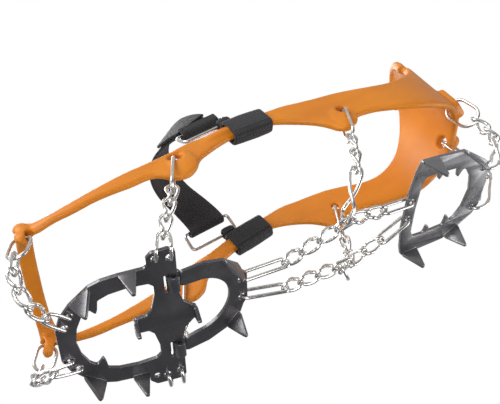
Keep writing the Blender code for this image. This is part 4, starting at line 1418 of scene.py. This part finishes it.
def ring_corners(side):
    """Lower and upper bar of the strap ring, leaning in over the boot."""
    middle, along, up, outward = bar_frame(side)
    lean = math.radians(RING_LEAN)
    rise = up * math.cos(lean) - outward * math.sin(lean)
    low = middle + up * BAR_LEVEL
    high = low + rise * RING_HEIGHT
    return low, high, along, rise


def strap_ring(side):
    """A rectangle of wire with round corners."""
    label = label_of(side)
    low, high, along, rise = ring_corners(side)
    centre = low.lerp(high, 0.5) + along * RING_MIDDLE
    half_long = (RING_REAR - RING_FRONT) / 2
    outline = rounded_rectangle(half_long, RING_HEIGHT / 2, 2.2, 8)
    wire(f"strap_ring_{label}", [centre + along * a + rise * b for a, b in outline])


def strap_bar(side):
    """Middle of the upper bar, where the strap turns round it, and the bar's direction."""
    _, high, along, rise = ring_corners(side)
    return high + along * RING_MIDDLE, along, rise


def strap_section(place, across, outward, half=STRAP_WIDTH / 2):
    """Flat tape with round edges."""
    edge = STRAP_THICKNESS / 2
    points = []
    for side in (1, -1):
        for step in range(7):
            angle = math.pi * (step / 6 - 0.5)
            out = edge * math.sin(angle) * side
            wide = (half - edge + edge * math.cos(angle)) * side
            points.append(place + across * wide + outward * out)
        for step in range(1, 12):
            wide = (half - edge) * (1 - step / 6) * side
            points.append(place + across * wide + outward * (edge * side))
    return points


def arch_point(share):
    """The strap's middle line over the instep: share runs 0 to 1, near to far."""
    bar, _, _ = strap_bar(-1)
    angle = math.pi * share
    rise = (STRAP_TOP.z - bar.z) * math.sin(angle)
    forward = (bar.x - STRAP_TOP.x) * math.sin(angle) ** 2
    return Vector((bar.x - forward, (bar.y + TURN_RADIUS) * math.cos(angle), bar.z + rise))


def arch_frame(share):
    """Across and outward directions of the strap at a point of the arch."""
    _, along, _ = strap_bar(-1 if share < 0.5 else 1)
    way = (arch_point(share + 0.005) - arch_point(share - 0.005)).normalized()
    over = Vector((0.80, 0.0, 0.60))
    blend = min(1.0, math.sin(math.pi * share) * 1.5)
    across = square_to(along.lerp(over, blend), way)
    return across, across.cross(way)


def strap_turn(side):
    """Sections of the half turn round the bar, from inside the ring to outside."""
    bar, along, _ = strap_bar(side)
    outward = Vector((0.0, side, 0.0))
    below = square_to(DOWN, along)
    sections = []
    for step in range(15):
        angle = math.pi * step / 14
        radial = outward * -math.cos(angle) + below * math.sin(angle)
        sections.append(strap_section(bar + radial * TURN_RADIUS, along, -radial))
    for reach in (1.0, 2.0, 3.0):
        top = bar + outward * TURN_RADIUS - below * reach
        sections.append(strap_section(top, along, -outward))
    return sections


def instep_strap():
    sections = list(reversed(strap_turn(-1)))
    steps = 72
    for step in range(2, steps - 1):
        share = step / steps
        across, outward = arch_frame(share)
        sections.append(strap_section(arch_point(share), across, outward))
    made = placed("webbing_strap", skin("strap", sections + strap_turn(1)))
    show(made, "instep_strap", STRAP_WEBBING, TAPE_SHARP)


TAIL_START = 0.10
TAIL_SHARE = 0.23
TAIL_CORNER = 6.0


def strap_tail():
    """The free end, folded back over the strap and pressed down on it, its end rounded."""
    lift = STRAP_THICKNESS + 0.5
    steps = 40
    end = arch_point(TAIL_START + TAIL_SHARE)
    sections = []
    for step in range(steps + 1):
        share = TAIL_START + TAIL_SHARE * step / steps
        across, outward = arch_frame(share)
        place = arch_point(share) + outward * lift
        left = min((arch_point(share) - end).length, TAIL_CORNER)
        cut_in = TAIL_CORNER - math.sqrt(TAIL_CORNER**2 - (TAIL_CORNER - left) ** 2)
        sections.append(strap_section(place, across, outward, STRAP_WIDTH / 2 - cut_in))
    made = placed("webbing_tail", skin("tail", sections))
    show(made, "strap_tail", LOOP_TAPE, TAPE_SHARP)


# ---------------------------------------------------------------- the object
front_plate()
horseshoe_plate()
heel_plate()
for side in (-1, 1):
    toe_chain(side)
    fore_chain(side)
    mid_chain(side, sole_chain(side))
    heel_chain(side)
    sleeve(side)
    strap_ring(side)
harness()
instep_strap()
strap_tail()


# ---------------------------------------------------------------- stage
def area_light(name, place, aim, size, power):
    lamp = bpy.data.lights.new(name, "AREA")
    lamp.size = size
    lamp.energy = power
    made = placed(name, lamp)
    made.location = place
    made.rotation_euler = (Vector(aim) - Vector(place)).to_track_quat("-Z", "Y").to_euler()


def unseen_by(made, *rays):
    for ray in rays:
        setattr(made, "visible_" + ray, False)


def stage():
    low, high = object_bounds()
    centre = (low + high) / 2
    work = bmesh.new()
    bmesh.ops.create_grid(work, x_segments=1, y_segments=1, size=3.0)
    mesh = mesh_from(work, "floor")
    floor = placed("floor", mesh)
    floor.location = (centre.x, centre.y, low.z - 0.0002)
    floor.data.materials.append(floor_material())
    unseen_by(floor, "shadow", "glossy", "diffuse")
    floor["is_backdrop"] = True
    area_light("key", (-0.5, -0.9, 0.75), centre, 0.8, 11.0)
    area_light("under", (-0.35, -0.45, -0.75), centre, 0.7, 6.0)
    area_light("rear", (0.75, 0.2, -0.5), centre, 0.6, 4.0)
    area_light("top", (0.1, 0.5, 0.95), centre, 0.8, 7.0)


def backdrop():
    """A white surround that is only seen, and neither lights nor shades anything."""
    work = bmesh.new()
    bmesh.ops.create_uvsphere(work, u_segments=48, v_segments=24, radius=8.0)
    mesh = mesh_from(work, "backdrop")
    around = placed("backdrop", mesh)
    made = bpy.data.materials.new("white_surround")
    made.use_nodes = True
    tree = made.node_tree
    glow = shader_node(tree, "Emission", {"Color": (1.0, 1.0, 1.0, 1.0), "Strength": 1.0})
    output = tree.nodes["Material Output"]
    tree.links.new(glow.outputs[0], output.inputs["Surface"])
    around.data.materials.append(made)
    unseen_by(around, "diffuse", "glossy", "transmission", "shadow")
    around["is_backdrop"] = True


def world():
    """Lighter above, darker below, so that the steel has something to mirror."""
    made = bpy.data.worlds.new("studio")
    bpy.context.scene.world = made
    made.use_nodes = True
    tree = made.node_tree
    way = shader_node(tree, "TexCoord").outputs["Generated"]
    height = shader_node(tree, "SeparateXYZ", {"Vector": way}).outputs["Z"]
    share = ranged(tree, height, 0.0, 1.0, -0.35, 0.12)
    colour = blended(tree, share, (0.16, 0.16, 0.17), (0.55, 0.55, 0.55))
    background = tree.nodes["Background"]
    tree.links.new(colour, background.inputs["Color"])
    background.inputs["Strength"].default_value = 1.0


def camera():
    """Below and in front of the toe, looking up at the sole."""
    lens = bpy.data.cameras.new("camera")
    lens.sensor_width = 36.0
    lens.lens = 72.1
    lens.shift_x = 0.01088
    lens.shift_y = 0.00608
    lens.clip_start = 0.01
    lens.clip_end = 50.0
    made = placed("camera", lens)
    forward = Vector((0.3514, 0.6862, 0.6369)).normalized()
    right = forward.cross(Vector((0.3538, -0.7272, 0.5883))).normalized()
    upward = right.cross(forward)
    turn = Matrix((right, upward, -forward)).transposed().to_4x4()
    made.matrix_world = Matrix.Translation((-0.12712, -0.39124, -0.30753)) @ turn
    bpy.context.scene.camera = made


bpy.context.scene.view_settings.view_transform = "Standard"
world()
stage()
backdrop()
camera()
